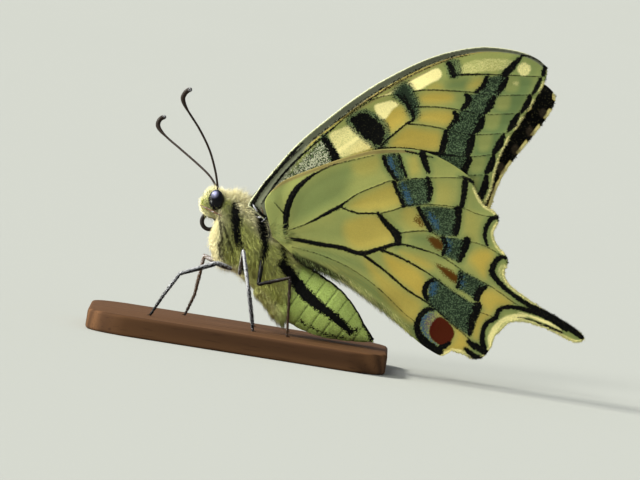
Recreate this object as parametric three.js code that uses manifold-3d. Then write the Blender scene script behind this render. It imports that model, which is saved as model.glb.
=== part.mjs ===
// Swallowtail butterfly, life size, standing with its wings closed over its back on a flat display base.
// Millimetres, +Z up. The head points towards -X and the left side of the insect towards -Y. The origin
// is the centre of the underside of the base.
//
// The insect is drawn in a frame of its own, whose origin is the root of the wings: x runs back from the
// head, z runs up and y runs to the insect's right, so y = 0 is the plane that halves it. The stance
// below leans that frame over the base. Legs are made upright, so that their soles are level.

import * as THREE from 'three';
import { mergeVertices } from 'three/addons/utils/BufferGeometryUtils.js';
import Module from 'manifold-3d';

const wasm = await Module();
wasm.setup();

// ---- Driving dimensions ----

const base = { length: 37, width: 26, thickness: 2.5, corner: 5, edge: 0.4 };

const stance = {
  pitch: 9, // degrees that the tail end is raised
  bank: 3, // degrees that the back leans to the insect's right
  root: new THREE.Vector3(1, 1, base.thickness + 14.05), // the root of the wings, over the base
};

const bendRoom = 1.5; // a leg's bends start this many radii from the joint
const kneeSwell = 1.06; // and are this much thicker there

const gap = 0.3; // clearance between a piece and the neighbour that cuts it
const soleGap = 0.1; // clearance under the soles

// Stations of the body from the neck to the tip of the abdomen, out to the tips of the fur: a point on
// the back, the point below it on the belly and half the width between the flanks.
const stations = [
  { back: [-4.8, 2.9], belly: [-5.7, -0.7], half: 1.9 },
  { back: [-3.6, 2.9], belly: [-6.8, -3.4], half: 2.5 },
  { back: [-2.0, 2.1], belly: [-6.2, -5.8], half: 2.9 },
  { back: [-0.4, 0.8], belly: [-4.5, -6.6], half: 3.1 },
  { back: [1.2, -0.9], belly: [-2.7, -8.1], half: 3.1 },
  { back: [2.6, -2.8], belly: [-0.9, -9.7], half: 3.0 },
  { back: [3.5, -4.4], belly: [0.7, -11.2], half: 2.8 },
  { back: [4.2, -5.5], belly: [2.1, -12.5], half: 2.7 },
  { back: [5.5, -6.3], belly: [3.3, -13.5], half: 2.7 },
  { back: [7.1, -7.4], belly: [4.9, -14.3], half: 2.75 },
  { back: [9.0, -8.8], belly: [6.9, -15.0], half: 2.7 },
  { back: [10.3, -10.2], belly: [8.7, -15.3], half: 2.35 },
  { back: [11.4, -11.8], belly: [10.3, -15.5], half: 1.8 },
  { back: [12.3, -13.5], belly: [11.8, -15.6], half: 1.05 },
  { back: [13.3, -15.1], belly: [13.2, -15.6], half: 0.3 },
];
const waist = 6.85; // station, counted from the neck, where the thorax ends and the abdomen starts
const waistGap = 0.22; // the same measure for the cut between them, 0.3 mm long

const head = { centre: [-6.05, 0, 1.65], radii: [1.35, 1.75, 1.65] };
const eye = { centre: [-5.95, 1.35, 1.8], radii: [0.98, 0.8, 1.29] };

const palp = {
  joints: [[-6.9, 0.64, 0.1], [-7.75, 0.66, 1.0], [-7.85, 0.64, 2.4]],
  girth: [0.3, 0.44, 0.28],
};

const proboscis = {
  centre: [-6.9, -1.0],
  outer: 1.0, // radius of the tube's middle line where the coil starts
  inner: 0.32, // and where it ends
  girth: 0.25,
  startAngle: 80, // degrees above +x
  turns: 1.5,
};

const antennaShaft = 0.25; // radius
const antennaClub = { radius: 0.35, tip: 0.21, from: 0.76, full: 0.9 }; // swells between two shares of the length
const antennae = {
  left: [[-5.8, -0.7, 3.0], [-5.8, -0.75, 3.5], [-6.1, -1.3, 5.5], [-6.8, -2.0, 8.0], [-8.0, -2.8, 10.5],
    [-9.5, -3.7, 12.9], [-10.0, -4.0, 14.1], [-9.8, -4.1, 14.8], [-9.4, -4.1, 15.2], [-8.9, -4.1, 15.4]],
  right: [[-5.9, 0.7, 3.1], [-6.1, 0.8, 3.7], [-6.8, 1.5, 4.8], [-8.1, 2.7, 6.1], [-10.5, 4.8, 8.2],
    [-11.8, 5.9, 9.3], [-12.8, 6.6, 10.3], [-13.2, 6.9, 11.0], [-13.1, 7.0, 11.6], [-12.7, 7.1, 12.0],
    [-12.2, 7.1, 12.1]],
};

// A leg runs from its hip to the ankle in the insect's frame; its foot is a place on the base, given by x
// and y in the same frame. Only the left leg of a pair is given where the right one mirrors it.
const legs = {
  front_left: { joints: [[-4.1, -1.2, -6.6], [-5.9, -1.9, -5.9], [-10.4, -4.4, -7.2], [-12.3, -5.4, -9.7]],
    foot: [-14.0, -6.0], girth: [0.3, 0.34, 0.27, 0.25, 0.25] },
  front_right: { joints: [[-5.9, 0.9, -5.3], [-6.5, 1.7, -5.5], [-7.5, 5.2, -5.0], [-8.7, 6.0, -9.8]],
    foot: [-9.9, 5.6], girth: [0.3, 0.34, 0.27, 0.25, 0.25] },
  mid_left: { joints: [[-3.1, -1.6, -7.2], [-2.6, -5.2, -4.4], [-2.0, -5.8, -9.1]],
    foot: [-1.5, -4.8], girth: [0.32, 0.29, 0.26, 0.25] },
  hind_left: { joints: [[-0.3, -2.4, -5.4], [-0.75, -4.6, -8.5], [3.1, -6.3, -7.7]],
    foot: [2.7, -5.3], girth: [0.34, 0.3, 0.26, 0.25] },
};
const mirroredLegs = { mid_right: 'mid_left', hind_right: 'hind_left' };

// The wings stand over the hinge line, which runs down the back from the root. Away from that line they
// draw outwards and curve back in.
const hinge = { from: [-0.4, 0.2], along: [0.577, -0.817] };
const wing = {
  thickness: 0.5,
  forewingY: 2.0, // distance of the middle plane of the wing from the middle of the body, at the hinge
  hindwingY: 2.9,
  spread: 0.075, // mm outwards for each mm from the hinge line
  curl: 0.0008, // mm back in for each mm from the hinge line, squared
  rings: [0.34, 0.68, 1],
  rightForewing: { sweep: -5.3, slide: -0.3 }, // degrees that it lies further back than the left, and mm
};

// Outlines are splines joined at their ends, which are the corners of the wing.
const forewing = {
  centre: [19, 9.5],
  edges: [
    { points: [[-0.2, -0.5], [-1.5, 0.7], [-1.7, 1.9], [3.2, 7.9], [8.2, 12.2], [13.1, 15.7], [18.2, 18.4],
      [22.0, 19.8], [25.7, 20.5], [28.2, 20.5], [31.2, 20.0], [33.3, 19.1], [34.5, 18.1]], steps: 22 },
    { points: [[34.5, 18.1], [34.5, 17.3], [34.1, 16.0], [32.8, 13.7], [31.0, 11.0], [29.9, 9.3],
      [29.0, 7.6], [28.3, 5.6], [27.7, 3.1], [27.0, 1.4]], steps: 16 },
    { points: [[27.0, 1.4], [20.0, 0.4], [10.0, -0.8], [3.0, -1.1], [-0.2, -0.5]], steps: 8 },
  ],
};
const hindwing = {
  centre: [14.1, -2.5],
  edges: [
    { points: [[0.9, -2.7], [0.4, -0.6], [0.0, 1.2], [0.2, 2.1], [1.1, 3.2], [2.9, 4.5], [8.2, 6.5],
      [12.2, 7.7], [15.2, 8.1], [18.2, 8.0], [20.7, 7.3], [23.2, 6.0], [25.5, 4.3]], steps: 20 },
    { points: [[25.5, 4.3], [25.7, 3.2], [26.2, 2.1], [26.9, 1.1], [27.8, 0.6], [28.6, -0.2]], steps: 6 },
    { points: [[28.6, -0.2], [28.5, -1.0], [28.0, -1.9], [28.0, -2.7], [28.5, -3.8], [29.6, -5.1]],
      steps: 7 },
    { points: [[29.6, -5.1], [29.7, -5.8], [29.3, -7.1], [29.6, -8.1], [30.4, -9.0], [31.9, -10.1],
      [33.7, -11.3], [35.7, -12.5], [37.5, -13.6], [38.7, -14.5], [39.1, -15.2]], steps: 14 },
    { points: [[39.1, -15.2], [38.4, -15.6], [37.2, -15.3], [36.1, -14.7], [34.7, -14.0], [33.3, -13.5],
      [31.9, -13.1], [30.5, -13.0], [29.7, -13.3], [29.0, -14.0], [28.1, -14.9], [27.7, -16.1],
      [27.1, -17.0]], steps: 15 },
    { points: [[27.1, -17.0], [26.5, -17.5], [25.4, -17.6], [24.4, -17.1], [23.5, -16.8], [22.9, -16.6]],
      steps: 6 },
    { points: [[22.9, -16.6], [22.1, -17.1], [21.4, -17.2], [19.8, -16.3], [18.6, -15.4], [17.6, -14.5],
      [14.9, -12.0], [12.6, -10.2], [10.3, -8.4], [8.0, -7.1], [5.9, -6.0], [2.6, -3.9], [0.9, -2.7]],
      steps: 14 },
  ],
};

// ---- Materials ----

const finish = (colour, roughness) => new THREE.MeshStandardMaterial({ color: colour, roughness, metalness: 0 });
const materials = {
  fur: () => finish(0xd9cf93, 0.9),
  abdomen: () => finish(0xb9bf72, 0.8),
  eye: () => finish(0x14141c, 0.15),
  horn: () => finish(0x14130f, 0.45),
  wing: () => finish(0xc9bd6a, 0.7),
  base: () => finish(0x5a3a22, 0.5),
};

// ---- Geometry helpers ----

const vector = (place) => new THREE.Vector3(...place);

// A solid from closed rings of points, all with as many points each, closed by a point at each end.
function ringSolid(rings, start, end) {
  const sides = rings[0].length;
  const points = [start, ...rings.flat(), end];
  const last = points.length - 1;
  const faces = [];
  for (let side = 0; side < sides; side++) {
    const next = (side + 1) % sides;
    faces.push(0, 1 + next, 1 + side);
    for (let ring = 0; ring < rings.length - 1; ring++) {
      const here = 1 + ring * sides;
      const there = here + sides;
      faces.push(here + side, here + next, there + next, here + side, there + next, there + side);
    }
    faces.push(last - sides + side, last - sides + next, last);
  }
  return outward(points, faces);
}

// The geometry of a closed set of triangles, turned over where they face inwards.
function outward(points, faces) {
  let volume = 0;
  for (let i = 0; i < faces.length; i += 3) {
    volume += points[faces[i]].dot(points[faces[i + 1]].clone().cross(points[faces[i + 2]]));
  }
  const geometry = new THREE.BufferGeometry().setFromPoints(points);
  geometry.setIndex(volume > 0 ? faces : [...faces].reverse());
  return geometry;
}

function toManifold(geometry) {
  const bare = geometry.clone();
  bare.deleteAttribute('normal');
  bare.deleteAttribute('uv');
  const merged = mergeVertices(bare, 1e-5);
  const mesh = new wasm.Mesh({
    numProp: 3,
    vertProperties: new Float32Array(merged.attributes.position.array),
    triVerts: new Uint32Array(merged.index.array),
  });
  return new wasm.Manifold(mesh);
}

function fromManifold(manifold) {
  const mesh = manifold.getMesh();
  const geometry = new THREE.BufferGeometry();
  geometry.setAttribute('position', new THREE.BufferAttribute(mesh.vertProperties, 3));
  geometry.setIndex(new THREE.BufferAttribute(mesh.triVerts, 1));
  return geometry;
}

const cut = (geometry, ...tools) => fromManifold(
  tools.reduce((rest, tool) => rest.subtract(toManifold(tool)), toManifold(geometry)));

// A round tube through a list of places, with a radius at each.
function tube(places, radii, sides = 8) {
  const tangents = places.map((place, i) => {
    const before = places[Math.max(i - 1, 0)];
    const after = places[Math.min(i + 1, places.length - 1)];
    return after.clone().sub(before).normalize();
  });
  const across = new THREE.Vector3(0.3, 0.2, 1).cross(tangents[0]).normalize();
  const rings = places.map((place, i) => {
    if (i > 0) {
      across.applyQuaternion(new THREE.Quaternion().setFromUnitVectors(tangents[i - 1], tangents[i]));
    }
    return Array.from({ length: sides }, (_, side) => across.clone()
      .applyAxisAngle(tangents[i], (side / sides) * 2 * Math.PI).multiplyScalar(radii[i]).add(place));
  });
  return ringSolid(rings, places[0], places[places.length - 1]);
}

// A jointed tube: straight between its joints and rounded where it bends.
function limb(joints, girth, sides = 8) {
  const places = [];
  const radii = [];
  const add = (place, radius) => { places.push(place); radii.push(radius); };
  joints.forEach((joint, i) => {
    if (i === 0 || i === joints.length - 1) {
      add(joint, girth[i]);
      return;
    }
    const bend = girth[i] * bendRoom;
    const before = joint.clone().add(joints[i - 1].clone().sub(joint).setLength(bend));
    const after = joint.clone().add(joints[i + 1].clone().sub(joint).setLength(bend));
    add(before, girth[i]);
    add(joint.clone().lerp(before.clone().lerp(after, 0.5), 0.5), girth[i] * kneeSwell);
    add(after, girth[i]);
  });
  return tube(places, radii, sides);
}

function ellipsoid({ centre, radii }, extra = 0, segments = 20) {
  return new THREE.SphereGeometry(1, segments, Math.round(segments * 0.7))
    .rotateX(Math.PI / 2)
    .scale(...radii.map((radius) => radius + extra))
    .translate(...centre);
}

const mirror = ([x, y, z]) => [x, -y, z];

// ---- Body ----

const backLine = new THREE.SplineCurve(stations.map(({ back }) => new THREE.Vector2(...back)));
const bellyLine = new THREE.SplineCurve(stations.map(({ belly }) => new THREE.Vector2(...belly)));
const flankLine = new THREE.SplineCurve(stations.map(({ half }, i) => new THREE.Vector2(i, half)));

function bodyLength(from, to, rings, extra = 0, sides = 20) {
  const middles = [];
  const loops = Array.from({ length: rings }, (_, i) => {
    const t = (from + (to - from) * (i / (rings - 1))) / (stations.length - 1);
    const back = backLine.getPoint(t);
    const belly = bellyLine.getPoint(t);
    const up = back.clone().sub(belly).multiplyScalar(0.5);
    const middle = back.clone().add(belly).multiplyScalar(0.5);
    const height = up.length() + extra;
    up.setLength(height);
    const half = flankLine.getPoint(t).y + extra;
    middles.push(new THREE.Vector3(middle.x, 0, middle.y));
    return Array.from({ length: sides }, (_unused, side) => {
      const angle = (side / sides) * 2 * Math.PI;
      const rise = Math.cos(angle);
      return new THREE.Vector3(middle.x + up.x * rise, half * Math.sin(angle), middle.y + up.y * rise);
    });
  });
  if (extra > 0) { // the ends grow too
    const forward = middles[0].clone().sub(middles[1]).setLength(extra);
    const back = middles[rings - 1].clone().sub(middles[rings - 2]).setLength(extra);
    loops[0].forEach((point) => point.add(forward));
    loops[rings - 1].forEach((point) => point.add(back));
    middles[0].add(forward);
    middles[rings - 1].add(back);
  }
  return ringSolid(loops, middles[0], middles[rings - 1]);
}

const abdomenSolid = () => bodyLength(waist + waistGap, stations.length - 1, 15);
const grownThorax = () => bodyLength(0, waist, 12, gap);
const grownHead = () => ellipsoid(head, gap);
const eyeOn = (side) => ({ centre: [eye.centre[0], side * eye.centre[1], eye.centre[2]], radii: eye.radii });
const grownEyes = () => [-1, 1].map((side) => ellipsoid(eyeOn(side), gap, 16));

function thoraxSolid() {
  const radius = proboscis.outer + proboscis.girth + gap;
  const coilRoom = new THREE.CylinderGeometry(radius, radius, 2 * (proboscis.girth + gap), 24)
    .translate(proboscis.centre[0], 0, proboscis.centre[1]);
  return cut(bodyLength(0, waist, 12), ...grownEyes(), coilRoom);
}

const headSolid = () => cut(ellipsoid(head, 0, 24), grownThorax(), ...grownEyes());

function palpSolid(side) {
  const joints = palp.joints.map(([x, y, z]) => new THREE.Vector3(x, side * y, z));
  return cut(limb(joints, palp.girth, 10), grownHead());
}

function proboscisSolid() {
  const steps = 26;
  const places = Array.from({ length: steps + 1 }, (_, i) => {
    const along = i / steps;
    const angle = THREE.MathUtils.degToRad(proboscis.startAngle + 360 * proboscis.turns * along);
    const radius = THREE.MathUtils.lerp(proboscis.outer, proboscis.inner, along);
    return new THREE.Vector3(
      proboscis.centre[0] + radius * Math.cos(angle), 0, proboscis.centre[1] + radius * Math.sin(angle));
  });
  return cut(tube(places, places.map(() => proboscis.girth), 7), grownHead());
}

function antennaSolid(places) {
  const steps = 26;
  const curve = new THREE.CatmullRomCurve3(places.map(vector));
  const { radius, tip, from, full } = antennaClub;
  const girth = (along) => THREE.MathUtils.lerp(
    antennaShaft, radius, THREE.MathUtils.smoothstep(along, from, full));
  const points = curve.getSpacedPoints(steps);
  const radii = points.map((_, i) => (i === steps ? tip : girth(i / steps)));
  return cut(tube(points, radii, 7), grownHead());
}

// ---- Stance ----

const insect = new THREE.Group();
insect.rotation.set(
  THREE.MathUtils.degToRad(-stance.bank), THREE.MathUtils.degToRad(-stance.pitch), 0, 'XYZ');
insect.position.copy(stance.root);
insect.updateMatrix();

const upright = (geometry) => geometry.applyMatrix4(insect.matrix);

// The place where a line straight down the insect's own z, at x and y, meets the level of the soles.
function footPlace([x, y]) {
  const top = new THREE.Vector3(x, y, 0).applyMatrix4(insect.matrix);
  const down = new THREE.Vector3(0, 0, -1).transformDirection(insect.matrix);
  return top.addScaledVector(down, (top.z - base.thickness) / -down.z);
}

function legSolid({ joints, foot, girth }, thorax) {
  const sole = footPlace(foot);
  const places = joints.map((joint) => vector(joint).applyMatrix4(insect.matrix));
  const shin = sole.clone().sub(places[places.length - 1]).normalize();
  places.push(sole.addScaledVector(shin, girth[girth.length - 1]));
  const floor = new THREE.BoxGeometry(base.length * 2, base.width * 2, 4)
    .translate(0, 0, base.thickness + soleGap - 2);
  return cut(limb(places, girth), thorax, floor);
}

// ---- Wings ----

function outlinePoints(edges) {
  return edges.flatMap(({ points, steps }) => new THREE.SplineCurve(points.map((p) => new THREE.Vector2(...p)))
    .getSpacedPoints(steps).slice(0, -1));
}

// How far out of its place at the hinge a wing stands at x and z.
function drawnOut(x, z) {
  const [alongX, alongZ] = hinge.along;
  const distance = Math.max((z - hinge.from[1]) * alongX - (x - hinge.from[0]) * alongZ, 0);
  return wing.spread * distance - wing.curl * distance ** 2;
}

function wingSolid({ centre, edges }, side, hingeY, { sweep, slide } = { sweep: 0, slide: 0 }) {
  const turn = THREE.MathUtils.degToRad(sweep);
  const root = new THREE.Vector2(...hinge.from);
  const place = (flat) => flat.clone().rotateAround(root, turn).add(new THREE.Vector2(slide, 0));
  const outline = outlinePoints(edges);
  const heart = new THREE.Vector2(...centre);
  const count = outline.length;
  const face = (offset) => {
    const stand = (flat) => {
      const { x, y: z } = place(flat);
      return new THREE.Vector3(x, side * (hingeY + drawnOut(x, z) + offset), z);
    };
    return [stand(heart), ...wing.rings.flatMap((share) => outline.map((point) => (
      stand(heart.clone().lerp(point, share)))))];
  };
  const outer = face(wing.thickness / 2);
  const inner = face(-wing.thickness / 2);
  const points = [...outer, ...inner];
  const faces = [];
  const shift = outer.length;
  for (let i = 0; i < count; i++) {
    const next = (i + 1) % count;
    faces.push(0, 1 + i, 1 + next, shift, shift + 1 + next, shift + 1 + i);
    for (let ring = 1; ring < wing.rings.length; ring++) {
      const here = 1 + (ring - 1) * count;
      const there = here + count;
      faces.push(here + i, there + i, there + next, here + i, there + next, here + next);
      faces.push(shift + here + i, shift + there + next, shift + there + i);
      faces.push(shift + here + i, shift + here + next, shift + there + next);
    }
    const rim = 1 + (wing.rings.length - 1) * count;
    faces.push(rim + i, shift + rim + i, shift + rim + next, rim + i, shift + rim + next, rim + next);
  }
  return cut(outward(points, faces), grownThorax());
}

// ---- Base ----

function baseSolid() {
  const { length, width, thickness, corner, edge } = base;
  const x = length / 2 - edge;
  const y = width / 2 - edge;
  const outline = new THREE.Shape()
    .moveTo(-x + corner, -y).lineTo(x - corner, -y).absarc(x - corner, -y + corner, corner, -Math.PI / 2, 0)
    .lineTo(x, y - corner).absarc(x - corner, y - corner, corner, 0, Math.PI / 2)
    .lineTo(-x + corner, y).absarc(-x + corner, y - corner, corner, Math.PI / 2, Math.PI)
    .lineTo(-x, -y + corner).absarc(-x + corner, -y + corner, corner, Math.PI, Math.PI * 1.5);
  return new THREE.ExtrudeGeometry(outline, {
    depth: thickness - 2 * edge, bevelThickness: edge, bevelSize: edge, bevelSegments: 1, curveSegments: 6,
  }).translate(0, 0, edge);
}

// ---- Assembly ----

const part = new THREE.Group();
part.add(insect);

function add(group, name, geometry, material) {
  const mesh = new THREE.Mesh(geometry, material());
  mesh.name = name;
  group.add(mesh);
}

add(insect, 'head', headSolid(), materials.fur);
add(insect, 'thorax', thoraxSolid(), materials.fur);
add(insect, 'abdomen', abdomenSolid(), materials.abdomen);
add(insect, 'proboscis', proboscisSolid(), materials.horn);

for (const [name, side] of [['left', -1], ['right', 1]]) {
  add(insect, `eye_${name}`, ellipsoid(eyeOn(side)), materials.eye);
  add(insect, `palp_${name}`, palpSolid(side), materials.fur);
  add(insect, `antenna_${name}`, antennaSolid(antennae[name]), materials.horn);
  add(insect, `forewing_${name}`,
    wingSolid(forewing, side, wing.forewingY, side === 1 ? wing.rightForewing : undefined), materials.wing);
  add(insect, `hindwing_${name}`, wingSolid(hindwing, side, wing.hindwingY), materials.wing);
}

for (const [name, original] of Object.entries(mirroredLegs)) {
  const { joints, foot: [x, y], girth } = legs[original];
  legs[name] = { joints: joints.map(mirror), foot: [x, -y], girth };
}
const thoraxTool = upright(grownThorax());
for (const [name, leg] of Object.entries(legs)) {
  add(part, `leg_${name}`, legSolid(leg, thoraxTool), materials.horn);
}

add(part, 'stand_base', baseSolid(), materials.base);

export default part;
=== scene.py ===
"""Looks of the swallowtail butterfly: skin, coat, wings, eyes, feelers, tongue, legs, base and stage.

The file is laid out as an add-on and is run as a script. Lengths are millimetres in the insect's own frame,
whose origin is the root of the wings: x runs back from the head, z runs up and y runs to the insect's
right. to_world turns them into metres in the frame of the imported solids.
"""

import math

import bpy
import numpy as np
from mathutils import Matrix, Vector
from mathutils.geometry import delaunay_2d_cdt
from mathutils.kdtree import KDTree


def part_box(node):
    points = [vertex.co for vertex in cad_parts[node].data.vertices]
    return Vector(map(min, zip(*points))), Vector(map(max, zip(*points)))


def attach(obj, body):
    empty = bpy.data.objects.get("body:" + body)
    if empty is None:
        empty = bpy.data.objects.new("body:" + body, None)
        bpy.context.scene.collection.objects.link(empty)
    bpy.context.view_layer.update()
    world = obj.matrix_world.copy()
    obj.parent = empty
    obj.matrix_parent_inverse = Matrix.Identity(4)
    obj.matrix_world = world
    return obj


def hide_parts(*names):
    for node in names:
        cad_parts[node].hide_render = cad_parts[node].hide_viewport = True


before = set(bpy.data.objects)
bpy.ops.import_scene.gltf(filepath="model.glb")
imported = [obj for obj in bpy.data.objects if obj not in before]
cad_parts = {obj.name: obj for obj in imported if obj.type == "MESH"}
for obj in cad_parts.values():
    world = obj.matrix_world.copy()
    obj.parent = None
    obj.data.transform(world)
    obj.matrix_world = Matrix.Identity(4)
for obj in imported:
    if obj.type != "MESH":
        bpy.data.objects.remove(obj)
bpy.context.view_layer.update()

bl_info = {
    "name": "Swallowtail butterfly",
    "version": (1, 0, 0),
    "blender": (4, 5, 0),
    "location": "View3D > Sidebar > Swallowtail",
    "description": "Builds the skin, coat, wings and base of a swallowtail butterfly around its solids",
    "category": "Object",
}

# ---- Driving dimensions, as the solids have them ----

MM = 0.001
PITCH = 9  # degrees that the tail end is raised
BANK = 3  # degrees that the back leans to the insect's right
BASE_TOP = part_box("stand_base")[1].z / MM
BASE_CORNER = 5
BASE_EDGE = 0.4
ROOT = (1, 1, BASE_TOP + 14.05)  # the root of the wings, over the base

# Stations of the body from the face to the tip of the abdomen, out to the tips of the fur: a point on the
# back, the point below it on the belly, half the width between the flanks, and the depth of the coat.
STATIONS = [
    ((-7.30, 2.0), (-7.35, 0.9), 0.75, 0.22),
    ((-6.95, 2.75), (-7.1, 0.35), 1.3, 0.24),
    ((-6.3, 3.2), (-6.6, 0.05), 1.7, 0.28),
    ((-5.5, 3.1), (-6.1, -0.2), 1.8, 0.35),
    ((-4.8, 2.9), (-5.7, -0.7), 1.9, 0.55),
    ((-3.6, 2.9), (-6.8, -3.4), 2.5, 0.75),
    ((-2.0, 2.1), (-6.2, -5.8), 2.9, 0.8),
    ((-0.4, 0.8), (-4.5, -6.6), 3.1, 0.8),
    ((1.2, -0.9), (-2.7, -8.1), 3.1, 0.75),
    ((2.6, -2.8), (-0.9, -9.7), 3.0, 0.7),
    ((3.5, -4.4), (0.7, -11.2), 2.8, 0.5),
    ((4.2, -5.5), (2.1, -12.5), 2.7, 0.22),
    ((5.5, -6.3), (3.3, -13.5), 2.7, 0.16),
    ((7.1, -7.4), (4.9, -14.3), 2.75, 0.15),
    ((9.0, -8.8), (6.9, -15.0), 2.7, 0.15),
    ((10.3, -10.2), (8.7, -15.3), 2.35, 0.14),
    ((11.4, -11.8), (10.3, -15.5), 1.8, 0.13),
    ((12.3, -13.5), (11.8, -15.6), 1.05, 0.12),
    ((13.3, -15.1), (13.2, -15.6), 0.3, 0.08),
]
WAIST = 10.6  # station where the abdomen starts
SEGMENT = 1.75  # length of a ring of the abdomen
SLANT = 0.31  # how far the rings lean, for each mm of height

EYE = {"centre": (-5.95, 1.35, 1.8), "radii": (0.98, 0.8, 1.29)}
PALP = {"joints": [(-6.6, 0.6, 0.0), (-7.35, 0.64, 0.8), (-7.55, 0.62, 1.75)], "girth": (0.2, 0.24, 0.1)}
TONGUE = {"centre": (-6.76, -0.88), "outer": 1.02, "inner": 0.68, "girth": 0.29, "start": 125,
          "turns": 0.95}

FEELER_RINGS = 38
FEELER_GIRTH = 0.145
CLUB_GIRTH = 0.17  # added to it at the club
FEELERS = {
    "left": [(-5.8, -0.7, 3.0), (-5.8, -0.75, 3.5), (-6.1, -1.3, 5.5), (-6.8, -2.0, 8.0),
             (-8.0, -2.8, 10.5), (-9.5, -3.7, 12.9), (-10.0, -4.0, 14.1), (-9.8, -4.1, 14.8),
             (-9.4, -4.1, 15.2), (-8.9, -4.1, 15.4)],
    "right": [(-5.9, 0.7, 3.1), (-6.1, 0.8, 3.7), (-6.8, 1.5, 4.8), (-8.1, 2.7, 6.1), (-10.5, 4.8, 8.2),
              (-11.8, 5.9, 9.3), (-12.8, 6.6, 10.3), (-13.2, 6.9, 11.0), (-13.1, 7.0, 11.6),
              (-12.7, 7.1, 12.0), (-12.2, 7.1, 12.1)],
}

HORN_SIDES = 14  # of legs, feelers and tongue
LEG_STEPS = 30  # rings of each part of a leg
BRISTLES_PER_MM = 30

# A leg runs from its hip to the ankle; its foot is a place on the base, given by x and y. Girths are radii
# from hip to foot; pale and brown are how far silvery scales or brown horn cover the black, in that order.
# On the left front leg and the middle legs, pale is partly silvery scales and partly painted sunlight.
LEGS = {
    "front_left": {"joints": [(-4.1, -1.2, -6.6), (-5.9, -1.9, -5.9), (-10.4, -4.4, -7.2),
                              (-12.3, -5.4, -9.7)],
                   "foot": (-14.0, -6.0), "girth": (0.26, 0.31, 0.21, 0.18, 0.14),
                   "pale": (0.85, 0.8, 0.6, 0.2, 0.0), "brown": (0.3, 0.0, 0.0, 0.0, 0.0)},
    "front_right": {"joints": [(-5.9, 0.9, -5.3), (-6.5, 1.7, -5.5), (-7.5, 5.2, -5.0), (-8.7, 6.0, -9.8)],
                    "foot": (-9.9, 5.6), "girth": (0.26, 0.3, 0.21, 0.18, 0.14),
                    "pale": (0.4, 0.3, 0.3, 0.1, 0.0), "brown": (0.5, 0.5, 0.7, 0.4, 0.1)},
    "mid_left": {"joints": [(-3.1, -1.6, -7.2), (-2.6, -5.2, -4.4), (-2.0, -5.8, -9.1)],
                 "foot": (-1.5, -4.8), "girth": (0.22, 0.19, 0.21, 0.15),
                 "pale": (0.75, 1.0, 1.0, 0.35), "brown": (0.2, 0.2, 0.0, 0.0)},
    "hind_left": {"joints": [(-0.3, -2.4, -5.4), (-0.75, -4.6, -8.5), (3.1, -6.3, -7.7)],
                  "foot": (2.7, -5.3), "girth": (0.27, 0.23, 0.18, 0.13),
                  "pale": (0.0, 0.0, 0.05, 0.1), "brown": (0.0, 0.0, 0.1, 0.5)},
}
MIRRORED_LEGS = {"mid_right": "mid_left", "hind_right": "hind_left"}

HINGE_FROM = (-0.4, 0.2)
HINGE_ALONG = (0.577, -0.817)
SPREAD = 0.075  # how far a wing draws outwards for each mm from the hinge line
CURL = 0.0008  # and back in, for each mm squared
SAG = 0.13  # how far a wing sinks between its veins
RIDGE = 0.035  # how far a vein stands out of each face
WINGS = {
    "forewing_left": {"shape": "fore", "side": -1, "hinge": 2.0, "sweep": 0.0, "slide": 0.0},
    "forewing_right": {"shape": "fore", "side": 1, "hinge": 2.0, "sweep": -5.3, "slide": -0.3},
    "hindwing_left": {"shape": "hind", "side": -1, "hinge": 2.9, "sweep": 0.0, "slide": 0.0},
    "hindwing_right": {"shape": "hind", "side": 1, "hinge": 2.9, "sweep": 0.0, "slide": 0.0},
}
OUTLINES = {
    "fore": [
        [(-0.2, -0.5), (-1.5, 0.7), (-1.7, 1.9), (3.2, 7.9), (8.2, 12.2), (13.1, 15.7), (18.2, 18.4),
         (22.0, 19.8), (25.7, 20.5), (28.2, 20.5), (31.2, 20.0), (33.3, 19.1), (34.5, 18.1)],
        [(34.5, 18.1), (34.5, 17.3), (34.1, 16.0), (32.8, 13.7), (31.0, 11.0), (29.9, 9.3),
         (29.0, 7.6), (28.3, 5.6), (27.7, 3.1), (27.0, 1.4)],
        [(27.0, 1.4), (20.0, 0.4), (10.0, -0.8), (3.0, -1.1), (-0.2, -0.5)],
    ],
    "hind": [
        [(0.9, -2.7), (0.4, -0.6), (0.0, 1.2), (0.2, 2.1), (1.1, 3.2), (2.9, 4.5), (8.2, 6.5),
         (12.2, 7.7), (15.2, 8.1), (18.2, 8.0), (20.7, 7.3), (23.2, 6.0), (25.5, 4.3)],
        [(25.5, 4.3), (25.7, 3.2), (26.2, 2.1), (26.9, 1.1), (27.8, 0.6), (28.6, -0.2)],
        [(28.6, -0.2), (28.5, -1.0), (28.0, -1.9), (28.0, -2.7), (28.5, -3.8), (29.6, -5.1)],
        [(29.6, -5.1), (29.7, -5.8), (29.3, -7.1), (29.6, -8.1), (30.4, -9.0), (31.9, -10.1),
         (33.7, -11.3), (35.7, -12.5), (37.5, -13.6), (38.7, -14.5), (39.1, -15.2)],
        [(39.1, -15.2), (38.4, -15.6), (37.2, -15.3), (36.1, -14.7), (34.7, -14.0), (33.3, -13.5),
         (31.9, -13.1), (30.5, -13.0), (29.7, -13.3), (29.0, -14.0), (28.1, -14.9), (27.7, -16.1),
         (27.1, -17.0)],
        [(27.1, -17.0), (26.5, -17.5), (25.4, -17.6), (24.4, -17.1), (23.5, -16.8), (22.9, -16.6)],
        [(22.9, -16.6), (22.1, -17.1), (21.4, -17.2), (19.8, -16.3), (18.6, -15.4), (17.6, -14.5),
         (14.9, -12.0), (12.6, -10.2), (10.3, -8.5), (8.0, -7.4), (5.9, -6.6), (4.3, -5.7), (2.6, -4.1),
         (0.9, -2.7)],
    ],
}
FRINGED = {"fore": (1,), "hind": (1, 2, 3, 4, 5)}  # edges that carry a fringe of scales

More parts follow.
